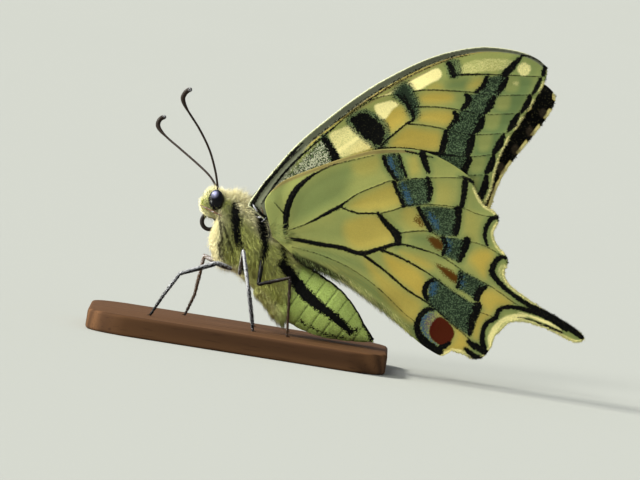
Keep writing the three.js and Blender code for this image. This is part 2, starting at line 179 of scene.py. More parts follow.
# Softness in degrees, the way to the light, and its colour.
SUNS = {
    "key": (18, (-0.45, -1.0, 0.75), (1.0, 0.97, 0.9)),
    "rim": (14, (-1.0, 0.05, 0.8), (1.0, 0.97, 0.88)),
    "fill": (40, (-1.0, -0.16, 0.15), (1.0, 0.99, 0.94)),
}
REFLECTOR_PLACE = (-42, -16, 7)
REFLECTOR_AIM = (-2, -1, 19)
REFLECTOR_SPREAD = 44  # degrees
REFLECTOR_RADIUS = 5
REFLECTOR_COLOUR = (1.0, 1.0, 0.9)
FLOOR_SIZE = 16  # metres
CAMERA_OFFSET = (6.75, -3.07)  # x and z that the camera looks at
CAMERA_DISTANCE = 1400
VIEW_WIDTH = 78.5  # width of the view at the insect
SENSOR = 36

# ---- Markings ----
#
# Millimetres in the wing's own flat frame. A stroke is a line of places with a width at each, spread evenly
# where fewer widths than places are given. A patch is a closed loop with a strength from 0 to 1.
#
# Where the numbers come from: the places were read off, and most of them were turned into millimetres,
# rounded and printed as these rows by another program. They are not worked out from the driving dimensions
# above, so these tables are not a pattern to follow.

FORE_VEINS = {
    "costal": ([(-1.5, 1.2), (-0.4, 3.2), (1.4, 5.3), (4.3, 8.1)], (0.43, 0.43, 0.31, 0.12)),
    "radial": ([(-0.4, 1.4), (2, 4.7), (4.4, 7.2), (8, 10.3), (10.2, 12.2), (13.4, 14.2), (15.8, 14.7)],
        (0.18, 0.32, 0.27, 0.20, 0.17, 0.15, 0.12)),
    "subcostal": ([(8, 10.8), (9.8, 12.2), (13.5, 14.6), (16.6, 16.6)], (0.12, 0.16, 0.15, 0.12)),
    "radial fork": ([(22.9, 17.1), (26.4, 17.2), (29.4, 17.1), (34.1, 16.9)], (0.27, 0.22, 0.17, 0.10)),
    "media 1": ([(18.2, 15.1), (20.2, 15.3), (25.4, 15), (28.2, 14.6), (32.8, 14.7), (33.4, 14.5)], (0.20,
        0.18, 0.16, 0.12, 0.10, 0.10)),
    "media 2": ([(18.3, 13.2), (21, 13.2), (24.1, 12.8), (26.8, 12.3), (31.2, 12.4), (32.1, 12.3)], (0.22,
        0.18, 0.16, 0.12, 0.10, 0.10)),
    "media 3": ([(17.2, 11.2), (20, 10.9), (22.4, 10.4), (25.4, 9.8), (29.4, 10), (30.2, 9.9)], (0.22,
        0.17, 0.16, 0.12, 0.10, 0.10)),
    "cubital 1": ([(13.9, 8.2), (17.4, 8.1), (19, 7.8), (21, 7.5), (24.8, 7.1), (28, 7.4)], (0.25, 0.27,
        0.37, 0.44, 0.12, 0.10)),
    "cubital 2": ([(9.8, 6.3), (16.6, 5.3), (24.3, 4.9), (27.1, 4.9)], (0.25, 0.20, 0.12, 0.10)),
    "cell end": ([(16.2, 14.7), (17.4, 13.5), (18.3, 11.9), (17.1, 11), (15.7, 9.8), (14.7, 9), (14, 8)],
        (0.25, 0.42, 0.37, 0.22, 0.23, 0.29, 0.34)),
    "cubitus": ([(0.9, 0.4), (4.3, 3.1), (8.6, 5.8), (14, 8.1)], (0.25, 0.25, 0.25, 0.32)),
}
FORE_BARS = [
    ([(7.2, 9.4), (8, 8.2), (8.6, 7), (9.1, 5.8)], (0.74, 1.10, 1.17, 0.98)),
    ([(22.6, 18.5), (23.1, 17.1)], (0.86, 0.79)),
    ([(31.5, 19.5), (30.4, 18.3), (29.4, 17.2)], (0.31, 0.86, 0.98)),
    ([(29.6, 16.8), (29, 15.7), (28.3, 14.7)], (0.61, 0.98, 0.55)),
    ([(28.1, 14.5), (27.5, 13.4), (26.8, 12.4)], (0.61, 1.04, 0.55)),
    ([(26.6, 12), (26.3, 10.9), (25.4, 9.9)], (0.74, 1.10, 0.55)),
    ([(25.4, 9.7), (25.1, 8.5), (24.7, 7.2)], (0.74, 1.17, 0.74)),
    ([(24.9, 6.8), (24.3, 5.2)], (0.98, 0.98)),
    ([(24.3, 4.5), (23.6, 2.8)], (0.98, 0.86)),
    ([(27.2, 16.9), (26.8, 15.8), (25.8, 15)], (0.45, 0.85, 0.4)),
    ([(24.6, 14.7), (25, 14), (24.1, 12.8)], (0.5, 0.95, 0.45)),
    ([(23.2, 12.5), (23.5, 11.8), (22.5, 10.5)], (0.55, 0.95, 0.5)),
    ([(22.2, 10.2), (22, 9), (21.7, 7.8)], (0.65, 0.95, 0.9)),
    ([(17, 14.6), (17.6, 13.3), (18.1, 12)], (0.2, 0.7, 0.4)),
    ([(34.4, 18.3), (34, 17.1)], (0.61, 0.54)),
    ([(33.7, 16.7), (33.4, 15.8), (32.8, 14.8)], (0.39, 0.61, 0.39)),
    ([(32.5, 14.6), (32.1, 13.6), (31.4, 12.6)], (0.49, 0.86, 0.44)),
    ([(31, 12.3), (30.4, 11.2), (29.8, 10.3)], (0.49, 0.98, 0.47)),
    ([(29.2, 9.7), (28.7, 8.6), (28, 7.6)], (0.49, 1.04, 0.54)),
    ([(28, 7.2), (27.7, 6.1), (27.1, 5.2)], (0.49, 0.98, 0.61)),
    ([(27.1, 4.7), (26.9, 3.4), (26.3, 2.1)], (0.55, 0.98, 0.86)),
    ([(31.3, 19.6), (32.8, 19.3), (33.7, 18.9), (34.5, 18.2)], (0.17, 0.25, 0.29, 0.37)),
]
FORE_BLOTS = [
    ([(10.3, 11.8), (11.2, 12.3), (12.3, 12.6), (13.4, 11.9), (14.5, 10.9), (14.7, 9.7), (14.4, 8.7),
        (13.6, 8.5), (12.8, 9.1), (11.8, 9.7), (11.2, 10.4)], 1),
]
FORE_DUST = [
    ([(0.6, 2.2), (2.5, 4.5), (4.3, 6.4), (7, 9), (8, 8), (8.6, 6.5), (6.5, 5.5), (3.8, 4)], 0.42),
    ([(27.4, 16.8), (29.6, 16.9), (28.5, 14.6), (26.9, 12.3), (25.6, 9.8), (24.9, 7.1), (24.4, 4.8),
        (23.3, 2.8), (21, 3.1), (21, 7.1), (22, 7.7), (22.4, 10.3), (23.7, 12.5), (24.9, 13.2), (25.1,
        14.6), (26.1, 15)], 0.55),
    ([(6.8, 9.2), (7.5, 9.8), (9.3, 6.8), (8.7, 6)], 0.5),
    ([(9.9, 11.8), (12.3, 13), (15.1, 11.2), (15.2, 9), (13.9, 7.8), (10.8, 10.1)], 0.4),
    ([(22.2, 18.8), (23.8, 19), (24.1, 17.1), (22.6, 16.8)], 0.35),
]
FORE_SMOKE = [
    ([(15.9, 15), (16.8, 15.9), (17.7, 15.8), (18.1, 14.8), (18.6, 13.4), (18.5, 12.2), (17.9, 12.3), (17.2,
        13.6), (16.3, 14.3)], 0.95),
]
# The first, second and fourth loops are patches of sunlight: painted light on the cream ground.
FORE_CREAM = [
    ([(7.8, 9.7), (9.2, 10.6), (10.6, 11), (11.9, 9.8), (13.2, 8.3), (10.7, 7.4), (9, 7.1)], 0.75),
    ([(8.3, 7.7), (9.8, 8.8), (11.4, 9.8), (11.8, 9.4), (10.4, 8.3), (8.8, 7.1)], 0.95),
    ([(13.4, 13.4), (14.4, 13.8), (15.6, 14), (16.4, 13.5), (15.6, 12.8), (14.8, 11.7), (14, 11.7), (13.6,
        12.4)], 0.95),
    ([(17.4, 16.2), (19.4, 17.3), (21.1, 18), (21.7, 17.3), (21.4, 16.6), (20.2, 16), (18.8, 15.2), (17.8,
        15.6)], 1.0),
    ([(14, 14.5), (15.3, 15.1), (16.8, 16.1), (16.4, 15.3), (15.3, 14.7), (14.4, 14.4)], 0.75),
    ([(23.7, 17.7), (24.9, 18.8), (27.6, 19.2), (30.3, 19), (30.4, 18.5), (29.2, 17.7), (26.4, 17.4),
        (24.2, 17.2)], 0.5),
    ([(30.8, 17.8), (31.2, 18.5), (31.8, 18.7), (32.4, 18.4), (32.6, 17.8), (32.3, 17.2), (31.8, 16.9),
        (31.2, 17.1)], 0.7),
    ([(30.3, 16.3), (31, 16.4), (31, 15.8), (30.4, 15.8)], 0.5),
]
# Warm patches of the underside: painted glow where light shines through the wing.
FORE_WARM = [
    ([(14.5, 12), (15.6, 13.1), (16.9, 13.1), (17.4, 11.9), (16.8, 10.9), (15.1, 10.2)], 0.9),
    ([(10.6, 8.1), (11.9, 9.1), (13.2, 8.2), (11.2, 7.2)], 0.8),
    ([(19.1, 14.5), (20.5, 15), (22.7, 14.8), (22.8, 14), (21.1, 13.6), (19.5, 13.7)], 0.9),
    ([(19.1, 12.3), (20.6, 12.8), (22.7, 12.6), (23.1, 11.9), (22.3, 11), (20.2, 11.2), (19, 11.5)], 0.85),
    ([(15.5, 8.7), (16.6, 10.2), (17.8, 10.7), (19.6, 10.4), (21.2, 10.1), (21.5, 9.1), (21, 8), (18.4,
        8), (16.6, 8.1)], 0.85),
    ([(20.2, 15.5), (20.9, 16), (21.6, 15.6)], 0.7),
    ([(24.8, 15.5), (25.5, 16.4), (26.6, 16.6), (26.3, 15.6)], 0.6),
]
FORE_GLOW = [
    ([(28.5, 14.3), (30, 14.6), (29.8, 13), (28.4, 12.9)], 0.7),
    ([(27.3, 12.1), (28.8, 12.3), (28.4, 10.6), (27, 10.5)], 0.75),
    ([(26.3, 9.7), (27.8, 9.8), (27.4, 8), (26.2, 7.9)], 0.75),
    ([(25.4, 6.9), (27, 7.1), (26.6, 5.4), (25.2, 5.2)], 0.7),
    ([(24.8, 4.4), (26.2, 4.6), (25.8, 3), (24.6, 2.9)], 0.6),
    ([(29.6, 16.7), (31.1, 16.8), (30.9, 15.2), (29.5, 15.1)], 0.6),
]
# Greener patches: partly the wing's own greenish dusting, partly painted shade where other wings lie behind.
FORE_COOL = [
    ([(22.3, 15.3), (22.7, 16.4), (24.7, 16.7), (24.7, 15.2)], 0.8),
    ([(18.3, 13.7), (19, 14.5), (19.5, 13.6), (21.5, 13.4), (23.3, 13.4), (23.7, 14.5), (25.1, 14.7),
        (23.9, 12.8), (20.2, 13.2)], 0.5),
    ([(18.8, 11.2), (18.9, 12.4), (19.5, 11.2)], 0.5),
    ([(31.3, 19), (33.7, 18.5), (33.5, 16.8), (32.3, 14.6), (30.6, 12.3), (28.8, 9.7), (27.5, 7.2), (26.4,
        4.8), (25.4, 1.8), (24.2, 2.8), (24.9, 6.8), (25.9, 9.7), (27.1, 12.2), (28.7, 14.6), (29.8,
        16.8)], 0.55),
    ([(12.9, 12.2), (13.6, 12.6), (14.6, 11.7), (14.6, 10.7)], 0.5),
    ([(2, 3.1), (4.3, 6.1), (8, 9.2), (10.7, 11.7), (14.1, 13.7), (17.8, 16.1), (21.5, 18), (22.1, 17.6),
        (16.6, 14.1), (10.7, 11.2), (5.5, 5.3)], 0.35),
    ([(29, 16.8), (33, 16.8), (31.5, 12.5), (29.2, 9), (27.7, 5), (26.8, 2.5), (24.2, 2.8), (24.9, 7),
      (26, 10), (27.6, 13)], 0.9),
]
FORE_TAN = [
    ([(4.3, 8), (9.6, 12.3), (16.8, 16.4), (20.9, 18.4), (24.2, 19.6), (27.6, 20.1), (30.6, 20)], (0.20,
        0.22, 0.25, 0.22, 0.20, 0.17, 0.15)),
    ([(9.6, 11.9), (16.8, 15.9), (20.2, 17.7)], (0.12, 0.15, 0.12)),
]

HIND_VEINS = {
    "costal": ([(2.5, -2.2), (2.6, -0.2), (2.9, 1.2), (3.6, 2.8), (4.7, 4), (6.1, 5), (8.1, 6), (9.9,
        6.5), (13.4, 7.3)], (0.61, 0.74, 0.81, 0.74, 0.54, 0.29, 0.18, 0.15, 0.12)),
    "humeral spur": ([(1.1, 1.6), (1.7, 0.9), (2.3, 0.2)], (0.11, 0.15, 0.20)),
    "radial stem": ([(2.6, -2), (4.8, -1.2), (6.1, -0.6), (7.4, 0.1), (9.1, 1)], (0.12, 0.17, 0.32, 0.39,
        0.44)),
    "radial": ([(9.1, 1), (9.8, 1.5), (11.4, 2.6), (14.1, 3.7), (15.6, 4.2), (19.6, 4.5), (24.2, 4.5),
        (25.4, 4)], (0.32, 0.25, 0.17, 0.16, 0.15, 0.11, 0.11, 0.12)),
    "cell top": ([(9.2, 1), (10.4, 0.5), (11.5, 0.2), (13.9, 0.2)], (0.25, 0.20, 0.22, 0.22)),
    "media 1": ([(14.2, 0.2), (15.8, 0.6), (17.3, 1.1), (19.9, 1.3), (23.9, 0.9), (26.1, 0.1), (28.6,
        -0.4)], (0.17, 0.17, 0.16, 0.12, 0.11, 0.12, 0.17)),
    "media 2": ([(16.6, -2.2), (18.3, -2), (20.1, -2), (21.6, -2.7), (24.8, -3.2), (27.1, -3.9), (29.7,
        -5.5)], (0.18, 0.16, 0.15, 0.12, 0.11, 0.12, 0.17)),
    "media 3": ([(16.2, -3.5), (17.8, -3.8), (19.1, -4.2), (21, -4.8), (22.9, -5.9), (25.1, -7.5), (27.4,
        -8.6), (30.7, -10.9)], (0.27, 0.22, 0.20, 0.17, 0.15, 0.12, 0.12, 0.12)),
    "cell foot": ([(2.5, -2.8), (4.3, -3.1), (6.8, -3.6), (9.3, -4), (11.8, -4.7), (14.4, -4), (16.2,
        -3.5)], (0.27, 0.47, 0.56, 0.56, 0.56, 0.44, 0.54)),
    "cubital 1": ([(14, -4.2), (16.3, -5.1), (19.1, -6.6), (20.9, -7.8), (22.7, -9.2), (24.9, -10.7),
        (26.4, -11.9), (27.9, -12.4)], (0.37, 0.27, 0.20, 0.17, 0.13, 0.12, 0.12, 0.12)),
    "cubital 2": ([(11.8, -4.7), (14, -6.3), (15, -7.1), (17.3, -9.1), (20.1, -10.9), (22.7, -13.1),
        (25.1, -15.3)], (0.39, 0.32, 0.27, 0.25, 0.20, 0.15, 0.15)),
    "anal": ([(3.3, -3.9), (6.8, -4.9), (10.4, -6.5), (13.9, -9), (16.8, -11.8), (18.4, -13.1)], (0.07,
        0.10, 0.12, 0.12, 0.10, 0.10)),
}
HIND_BARS = [
    ([(14.6, 7.1), (15, 5.9), (16.1, 4.3)], (0.61, 0.61, 0.54)),
    ([(14.5, 7.2), (16.3, 7.5)], (0.20, 0.20)),
    ([(16.4, 7.2), (16.8, 5.9), (17.3, 4.7)], (0.49, 0.56, 0.42)),
    ([(19.3, 7.4), (19.6, 6.4), (20, 5.3)], (0.98, 0.81, 0.56)),
    ([(17.2, 7.8), (19, 7.4), (20.5, 7)], (0.17, 0.32, 0.17)),
    ([(15.8, 4), (16.3, 2.8), (17, 1.2)], (0.56, 0.59, 0.64)),
    ([(19.9, 4.4), (20.2, 3.2), (20.1, 1.8)], (0.61, 0.81, 0.61)),
    ([(24.5, 4), (24.4, 2.7), (24.1, 1.1)], (0.86, 0.74, 0.64)),
    ([(23.8, 4.7), (24.8, 4.4), (25.6, 3.9)], (0.17, 0.49, 0.32)),
    ([(18.8, 0.9), (19.5, -0.4), (20.3, -1.8)], (0.54, 0.74, 0.81)),
    ([(23.6, 0.6), (23.6, -0.7), (23.3, -2.2)], (1.1, 0.95, 0.85)),
    ([(28.6, -0.3), (27.7, -0.5), (27.1, -1.5), (26.9, -2.5), (27.2, -3.7)], (0.54, 0.59, 0.59, 0.56,
        0.37)),
    ([(21.7, -2.7), (22.2, -3.7), (21.8, -4.8)], (0.49, 0.61, 0.61)),
    ([(24.7, -3.2), (24.3, -4.3), (23.8, -5.5)], (1.05, 1.0, 0.75)),
    ([(29.6, -5.3), (28.8, -5.2), (28.1, -5.9), (27.8, -7), (28.5, -8.1), (29.9, -9.4), (31.9, -10.8),
        (34.2, -12), (37.1, -13.7), (38.8, -15)], (0.37, 0.69, 0.76, 0.83, 0.69, 0.56, 0.64, 0.79, 0.98,
        0.61)),
    ([(23.9, -6.9), (23.9, -7.8), (23.6, -8.8)], (0.37, 0.61, 0.49)),
    ([(27.1, -8.7), (26.3, -9.2), (25.9, -10.1)], (0.5, 1.0, 1.0)),
    ([(20.5, -7.9), (19.7, -8.7), (19.6, -9.7), (20, -10.4)], (0.54, 0.74, 0.66, 0.56)),
    ([(26, -11.2), (25.5, -12.6), (25, -14.4)], (1.2, 1.1, 0.85)),
    ([(21, -11.5), (19.8, -11.6), (19, -12.4), (18.6, -13.5), (18.8, -14.5), (19.5, -15.5), (20.6, -16.4),
      (21.5, -16.8)], (0.45, 0.65, 0.75, 0.75, 0.85, 1.1, 1.15, 0.7)),
    ([(13.8, 0.2), (15, -1.2), (16.1, -2.4), (16.3, -3.4)], (0.5, 0.75, 1.1, 0.85)),
    ([(21.1, -16.6), (21.7, -16.2), (22.6, -15.7)], (0.74, 0.74, 0.44)),
    ([(24.9, -15.5), (25.8, -16.1), (27.1, -16.9)], (0.54, 0.86, 0.74)),
    ([(24.5, -16.4), (25.5, -17.2), (26.6, -17.6)], (0.44, 0.79, 0.56)),
    ([(26.9, -16.8), (26.6, -15.6), (26.7, -14.2), (27.2, -13.2), (28.2, -12.6), (28.6, -11.7), (29.4,
        -11.3), (30.6, -11.3), (31.9, -11.6), (33.4, -12), (35.2, -12.8), (36.9, -13.9)], (0.86, 0.74,
        0.61, 0.61, 0.69, 0.61, 0.56, 0.56, 0.61, 0.74, 0.86, 0.86)),
    ([(31, -12.5), (32.4, -12.8), (33.7, -13.3), (35.2, -13.9), (36.3, -14.4)], (0.10, 0.17, 0.25, 0.29,
        0.32)),
]
HIND_DUST = [
    ([(14.8, 7.1), (16.3, 7.2), (17.1, 4.7), (16.1, 4.3)], 0.62),
    ([(16.2, 3.9), (19.8, 4.4), (20.4, 3.1), (20.2, 1.7), (19.9, 1.4), (17.1, 1.1)], 0.56),
    ([(19, 0.9), (23.6, 0.6), (23.7, -0.9), (23.3, -2.3), (22.1, -2.6), (20.5, -2)], 0.56),
    ([(21.8, -2.8), (24.7, -3.2), (24.3, -4.3), (23.8, -5.6), (22.7, -5.3), (22, -4.8)], 0.6),
    ([(23.9, -6.9), (27.1, -8.6), (26.1, -9.3), (25.8, -10.2), (24.2, -9.3), (23.6, -8.8)], 0.62),
    ([(20.6, -7.8), (22.7, -9.1), (24.7, -10.4), (26.1, -11.4), (25.8, -12.9), (25, -14.6), (23.9, -14.1),
        (22.3, -13), (21.1, -11.8), (20, -10.6)], 0.6),
]
HIND_BLUE = [
    ([(15, 7), (15.5, 7), (15.9, 5.8), (16.2, 4.7), (15.6, 5.2), (15.1, 6)], 0.9),
    ([(16.7, 3.7), (17.2, 3.4), (17.8, 2.3), (17.9, 1.5), (17.3, 1.6)], 0.75),
    ([(19.9, 0.2), (20.5, 0.1), (21.2, -1), (21.2, -1.7), (20.5, -1.2)], 0.85),
    ([(22.2, -2.8), (22.7, -3.2), (22.8, -4), (22.4, -4.7), (22.2, -4)], 0.75),
    ([(23.9, -7.5), (24.4, -7.8), (24.4, -8.7), (23.9, -8.8)], 0.6),
    ([(20.2, -8.3), (21, -8.3), (21, -9.2), (20.5, -10.1), (20.1, -9.3)], 0.85),
    ([(19, -12), (20.2, -11.8), (20.7, -12), (19.9, -12.9), (19.8, -13.9), (20.4, -15.1), (21.1, -15.9),
        (20.4, -15.8), (19.3, -14.5), (18.9, -13.1)], 0.9),
]
HIND_LILAC = [
    ([(19.6, -13), (20.4, -12.2), (21.1, -12.5), (21, -13.6), (20.1, -14.6)], 0.7),
]
HIND_RUST = [
    ([(18.2, -0.7), (18.9, 0.1), (19.5, -0.7), (19.3, -1.5)], 0.75),
    ([(19.9, -2.7), (21.1, -2.8), (21.8, -3.4), (21.7, -4.4), (20.6, -3.9)], 0.95),
    ([(20.9, -6), (22.2, -6.5), (23.6, -7.4), (23.4, -8.3), (22.2, -7.6)], 1.0),
]
HIND_EYESPOT = [
    ([(21, -12.6), (21.8, -12.6), (22.8, -13.5), (23.2, -14.5), (22.8, -15.5), (22, -16.1), (21, -15.7),
        (20.2, -14.8), (20.2, -13.7)], 1.0),
]
# Warm patches of the underside: painted glow where light shines through the wing.
HIND_WARM = [
    ([(10.4, 1.1), (12.3, 2.5), (15.6, 3.8), (16.2, 2.8), (16.8, 1.4), (14.1, 0.5), (11.7, 0.5)], 0.65),
    ([(9.9, -0.9), (13.5, -0.1), (15.3, -1.4), (15.8, -2.6), (15.1, -3.7), (11.9, -4.3), (10.2, -3.4)],
        0.65),
    ([(14.6, -4.8), (16.6, -5.5), (18.8, -6.8), (19.6, -8.2), (19.1, -10.1), (17.2, -8.7), (15.3, -7)],
        0.9),
    ([(16.6, -4.5), (19, -5.2), (20.5, -6.3), (19.6, -6.6), (17.6, -5.5)], 0.75),
    ([(12.3, -5.5), (14.7, -7.4), (17.2, -9.4), (19.1, -11), (18.3, -13.1), (16.6, -12.2), (14.1, -9.2)],
        0.7),
    ([(10.7, 6.1), (12.3, 7), (13.9, 6.8), (13.5, 5.3), (11.7, 4.8)], 0.35),
    ([(17.7, 6.8), (18.5, 7.1), (18.9, 5.4), (17.9, 5)], 0.5),
    ([(25.4, -4.8), (26.4, -4.2), (27.5, -4.4), (27.9, -5.2), (27.2, -6.4), (26.8, -7.5), (25.8, -6.5),
        (25.1, -5.6)], 0.95),
    ([(26.3, -9.8), (27, -9.2), (28.2, -9.3), (30.1, -10.8), (28.5, -11.2), (27.6, -12), (26.5, -11)],
        0.85),
    ([(26, -12.4), (27, -11.8), (27.6, -12.2), (26.6, -13.2), (26.1, -15.1), (25.5, -14.8), (25.6,
        -13.5)], 0.85),
    ([(21.2, 3.6), (22.6, 3.6), (22.6, 1.5), (21.1, 1.5)], 0.25),
    ([(24.5, 0.1), (26, -0.1), (25.9, -3.1), (24.5, -2.8)], 0.25),
    ([(16.9, 0.9), (18.4, 0.9), (19.8, -1.6), (18, -1.7), (17.1, -0.9)], 0.45),
    ([(21.5, -12.2), (23.3, -13.5), (24.9, -15.5), (24.4, -16.6), (22.7, -16.9), (21.7, -16.8), (23.2,
        -15.3), (23.3, -13.9), (22.4, -12.6)], 0.9),
]
HIND_CREAM = [
    ([(21, -17.1), (22.2, -16.6), (23.7, -16.4), (24.7, -16.9), (23.7, -16.8), (22.2, -17.3)], 0.9),
    ([(27.5, -16.6), (27.2, -15.1), (27.9, -13.6), (29.1, -12.5), (31, -12), (32.3, -12.4), (30.7, -13),
        (29.4, -13.2), (28.3, -14.5), (27.7, -16.1)], 0.8),
    ([(29.4, -5.9), (28.6, -6.3), (28.5, -7.4), (29.4, -8.6), (29, -7.4), (29.2, -6.3)], 0.5),
    ([(30.9, -11.8), (33.1, -12.4), (35.2, -13.2), (36.4, -14.2), (34.7, -13.5), (32.5, -12.6)], 0.9),
]
# Greener patches: partly the wing's own greenish dusting, partly painted shade where other wings lie behind.
HIND_COOL = [
    ([(3.1, 1.8), (4.3, 3.3), (6.8, 4.8), (9.8, 6), (10.7, 5.5), (9.8, 2.5), (8.6, 1.5), (5.5, -0.4),
        (3.2, -1.4)], 0.55),
    ([(0.4, 2.8), (2.5, 3.9), (2.3, 1.2), (2.2, -3.1), (0.6, -1.2), (0.1, 1.2)], 0.4),
    ([(4.3, -4.3), (8, -4.5), (11, -5.3), (13.1, -7), (10.7, -6.5), (6.8, -5.3)], 0.6),
    ([(3.1, -2.3), (6.8, -1.4), (9.8, 0), (9.8, -3.1), (5.5, -3.1)], 0.3),
    ([(18.3, -2.3), (20.2, -2.2), (21.1, -3.7), (21.5, -4.7), (19, -3.9), (17.6, -3.4)], 0.6),
    ([(25.1, 3.3), (26.1, 1.6), (27.6, 0.2), (25.1, 0.7)], 0.4),
    ([(18.8, -7), (20.2, -7.2), (19.5, -8.5)], 0.6),
]
HIND_TAN = [
    ([(0.4, 2.8), (2.9, 4.3), (8.2, 6.3), (12.2, 7.5), (15.2, 7.8), (18.2, 7.7)], (0.37, 0.49, 0.61, 0.61,
        0.49, 0.25)),
]
HIND_STREAKS = [
    ([(9.2, -7.1), (11.7, -8.2), (14.1, -9.8), (16, -11.4), (17.8, -13.6), (19, -15.2)],
        (0.5, 0.8, 0.85, 0.7, 0.5, 0.3)),
    ([(3.6, -4.9), (6.8, -5.4), (9.8, -6.5), (12.4, -8.1)], (0.12, 0.3, 0.35, 0.15)),
    ([(4.3, -4.1), (7.4, -4.6), (10.4, -5.6)], (0.10, 0.2, 0.1)),
]
# Dark hair and painted shadow in the fold where the hindwing meets the abdomen.
HIND_FOLD_HAIR_AND_SHADOW = [
    ([(3.4, -5.1), (4.6, -5.7), (5.9, -6.3), (7.2, -6.9), (8.4, -7.4), (10, -8.2)],
        (0.2, 0.7, 0.9, 0.8, 0.4, 0.1)),
]

HIND_HEM = [
    ([(4.2, -4.9), (7.8, -5.6), (11, -7.2), (14.5, -9.4), (16.5, -11.2), (15.9, -11.8), (13.2, -9.9), (10.3,
        -8), (7.6, -6.8), (5, -6)], 0.36),
]

# The body's markings, seen from the side.
BODY_STRIPES = [
    ([(-3.7, 1.35), (-3.7, 0.6), (-3.6, -0.6), (-3.6, -2), (-3.4, -3.6)], (0.6, 1.15, 1.3, 0.95, 0.5)),
    ([(-3.1, -2.4), (-2.8, -4.4), (-2.7, -6.8)], (0.5, 0.4, 0.22)),
    ([(-1.4, 1.8), (-0.7, 0.4), (-0.4, -1.4), (0, -3.6), (-0.4, -5.3)], (0.37, 1.10, 1.23, 0.98, 0.74)),
    ([(2.1, -3.6), (2.3, -4.8), (2.2, -6.3)], (0.4, 0.6, 0.8)),
    ([(2.1, -5.9), (3.7, -8.1), (5, -9.7), (6.5, -11), (8.1, -12.2), (9.6, -13.5), (10.6, -14.4)], (1.23,
        1.47, 1.53, 1.35, 1.17, 1.04, 0.74)),
    ([(10.6, -14.4), (11.3, -14)], (0.55, 0.31)),
    ([(3.9, -5.2), (5.5, -6.1), (7.1, -7.1), (8.6, -8.3)], (0.5, 1.0, 0.8, 0.3)),
    ([(4.4, -13), (5, -13.5)], (0.22, 0.22)),
    ([(5.6, -13.7), (6.5, -14.2)], (0.25, 0.29)),
    ([(7.1, -14.4), (8, -14.8)], (0.25, 0.25)),
    ([(8.2, -14.7), (8.8, -15)], (0.20, 0.20)),
    ([(9.3, -15), (9.7, -15)], (0.17, 0.17)),
]
BODY_STREAKS = [
    ([(-5.6, -0.1), (-5.3, -2.6), (-4.9, -5)], (0.2, 0.35, 0.25)),
    ([(-5.2, -0.9), (-4.5, -2.8), (-3.9, -4.8)], (0.2, 0.35, 0.35)),
    ([(-5.6, -3.3), (-5.3, -5.3)], (0.4, 0.5)),
]
# Patches of painted shade on the flanks, behind the eye and between the stripes of the thorax.
BODY_SHADE_PATCHES = [
    ([(-5.3, 1.2), (-4.4, 1.7), (-3.9, 1.5), (-3.9, -3.2), (-4.6, -4.2), (-5.4, -3), (-5.5, -0.6)], 0.8),
    ([(-2.9, 0.1), (-1.5, 0.1), (-1.1, -2.6), (-2.6, -2.8)], 0.3),
]


def oval(x, z, across, up):
    """A small closed loop round a place."""
    return [(x - across, z), (x, z + up), (x + across, z), (x, z - up)], 1.0


UPPER_SPOTS = {
    "fore": [oval(31.2, 16.2, 0.5, 0.5), oval(29.7, 13.8, 0.6, 0.6), oval(28.1, 11.4, 0.65, 0.7),
             oval(26.5, 8.9, 0.65, 0.8), oval(25.4, 6.2, 0.65, 0.8), oval(24.6, 3.5, 0.65, 0.9)],
    "hind": [oval(24.6, 2.2, 0.8, 1.3), oval(25.5, -1.4, 0.9, 1.2), oval(26.5, -5.3, 1.0, 1.2),
             oval(28.2, -10.4, 1.1, 0.9), oval(26.6, -13.4, 0.6, 1.1)],
}
BROWN_SQUARES = [oval(33.2, 15.7, 0.5, 0.6), oval(31.8, 13.3, 0.5, 0.65), oval(30.2, 10.9, 0.5, 0.7),
                 oval(28.7, 8.4, 0.5, 0.75), oval(27.7, 5.9, 0.5, 0.8), oval(27.0, 3.2, 0.5, 0.8)]
VEINS = {"fore": FORE_VEINS, "hind": HIND_VEINS}
BARS = {"fore": FORE_BARS, "hind": HIND_BARS}
DUST = {"fore": FORE_DUST, "hind": HIND_DUST}
CREAM = {"fore": FORE_CREAM, "hind": HIND_CREAM}
WARM = {"fore": FORE_WARM, "hind": HIND_WARM}
COOL = {"fore": FORE_COOL, "hind": HIND_COOL}
TAN = {"fore": FORE_TAN, "hind": HIND_TAN}
SPOTS = ("blue", "lilac", "rust", "eyespot", "pearl", "soot", "ash")  # colours that lie here and there

# ---- Coat ----
#
# For each zone of the coat: how far the hairs stray from the lie, how far their tips are drawn to the
# middle of their lock, how many hairs share a lock, and how dark the darkest hairs are.
ZONES = {
    "head": {"stray": 0.38, "drawn": 0.35, "lock": 7, "dark": 0.5},
    "thorax": {"stray": 0.22, "drawn": 0.42, "lock": 15, "dark": 1.0},
    "wisps": {"stray": 0.22, "drawn": 0.75, "lock": 12, "dark": 0.25},
    "tufts": {"stray": 0.22, "drawn": 0.85, "lock": 26, "dark": 0.1},
    "abdomen": {"stray": 0.1, "drawn": 0.1, "lock": 9, "dark": 0.2},
}
HEAD_TONE = 0.72  # added to the darkness of the head's hairs
HAIRS_PER_PIECE = 17000
PALP_HAIRS = 1900  # on each palp
FRINGE_PER_MM = 26
INNER_HAIRS_PER_MM = 105
ROOT_HAIRS = 520  # at the root of each hindwing

# ---- Shapes: helpers ----


def insect_matrix():
    """From the insect's frame to that of the solids, both in millimetres."""
    lean = Matrix.Rotation(math.radians(-BANK), 4, "X") @ Matrix.Rotation(math.radians(-PITCH), 4, "Y")
    return Matrix.Translation(ROOT) @ lean


def to_upright(places):
    """Places in the insect's frame as places over the base, in millimetres."""
    matrix = np.array(insect_matrix())
    return np.asarray(places, float) @ matrix[:3, :3].T + matrix[:3, 3]


def to_world(places):
    return to_upright(places) * MM


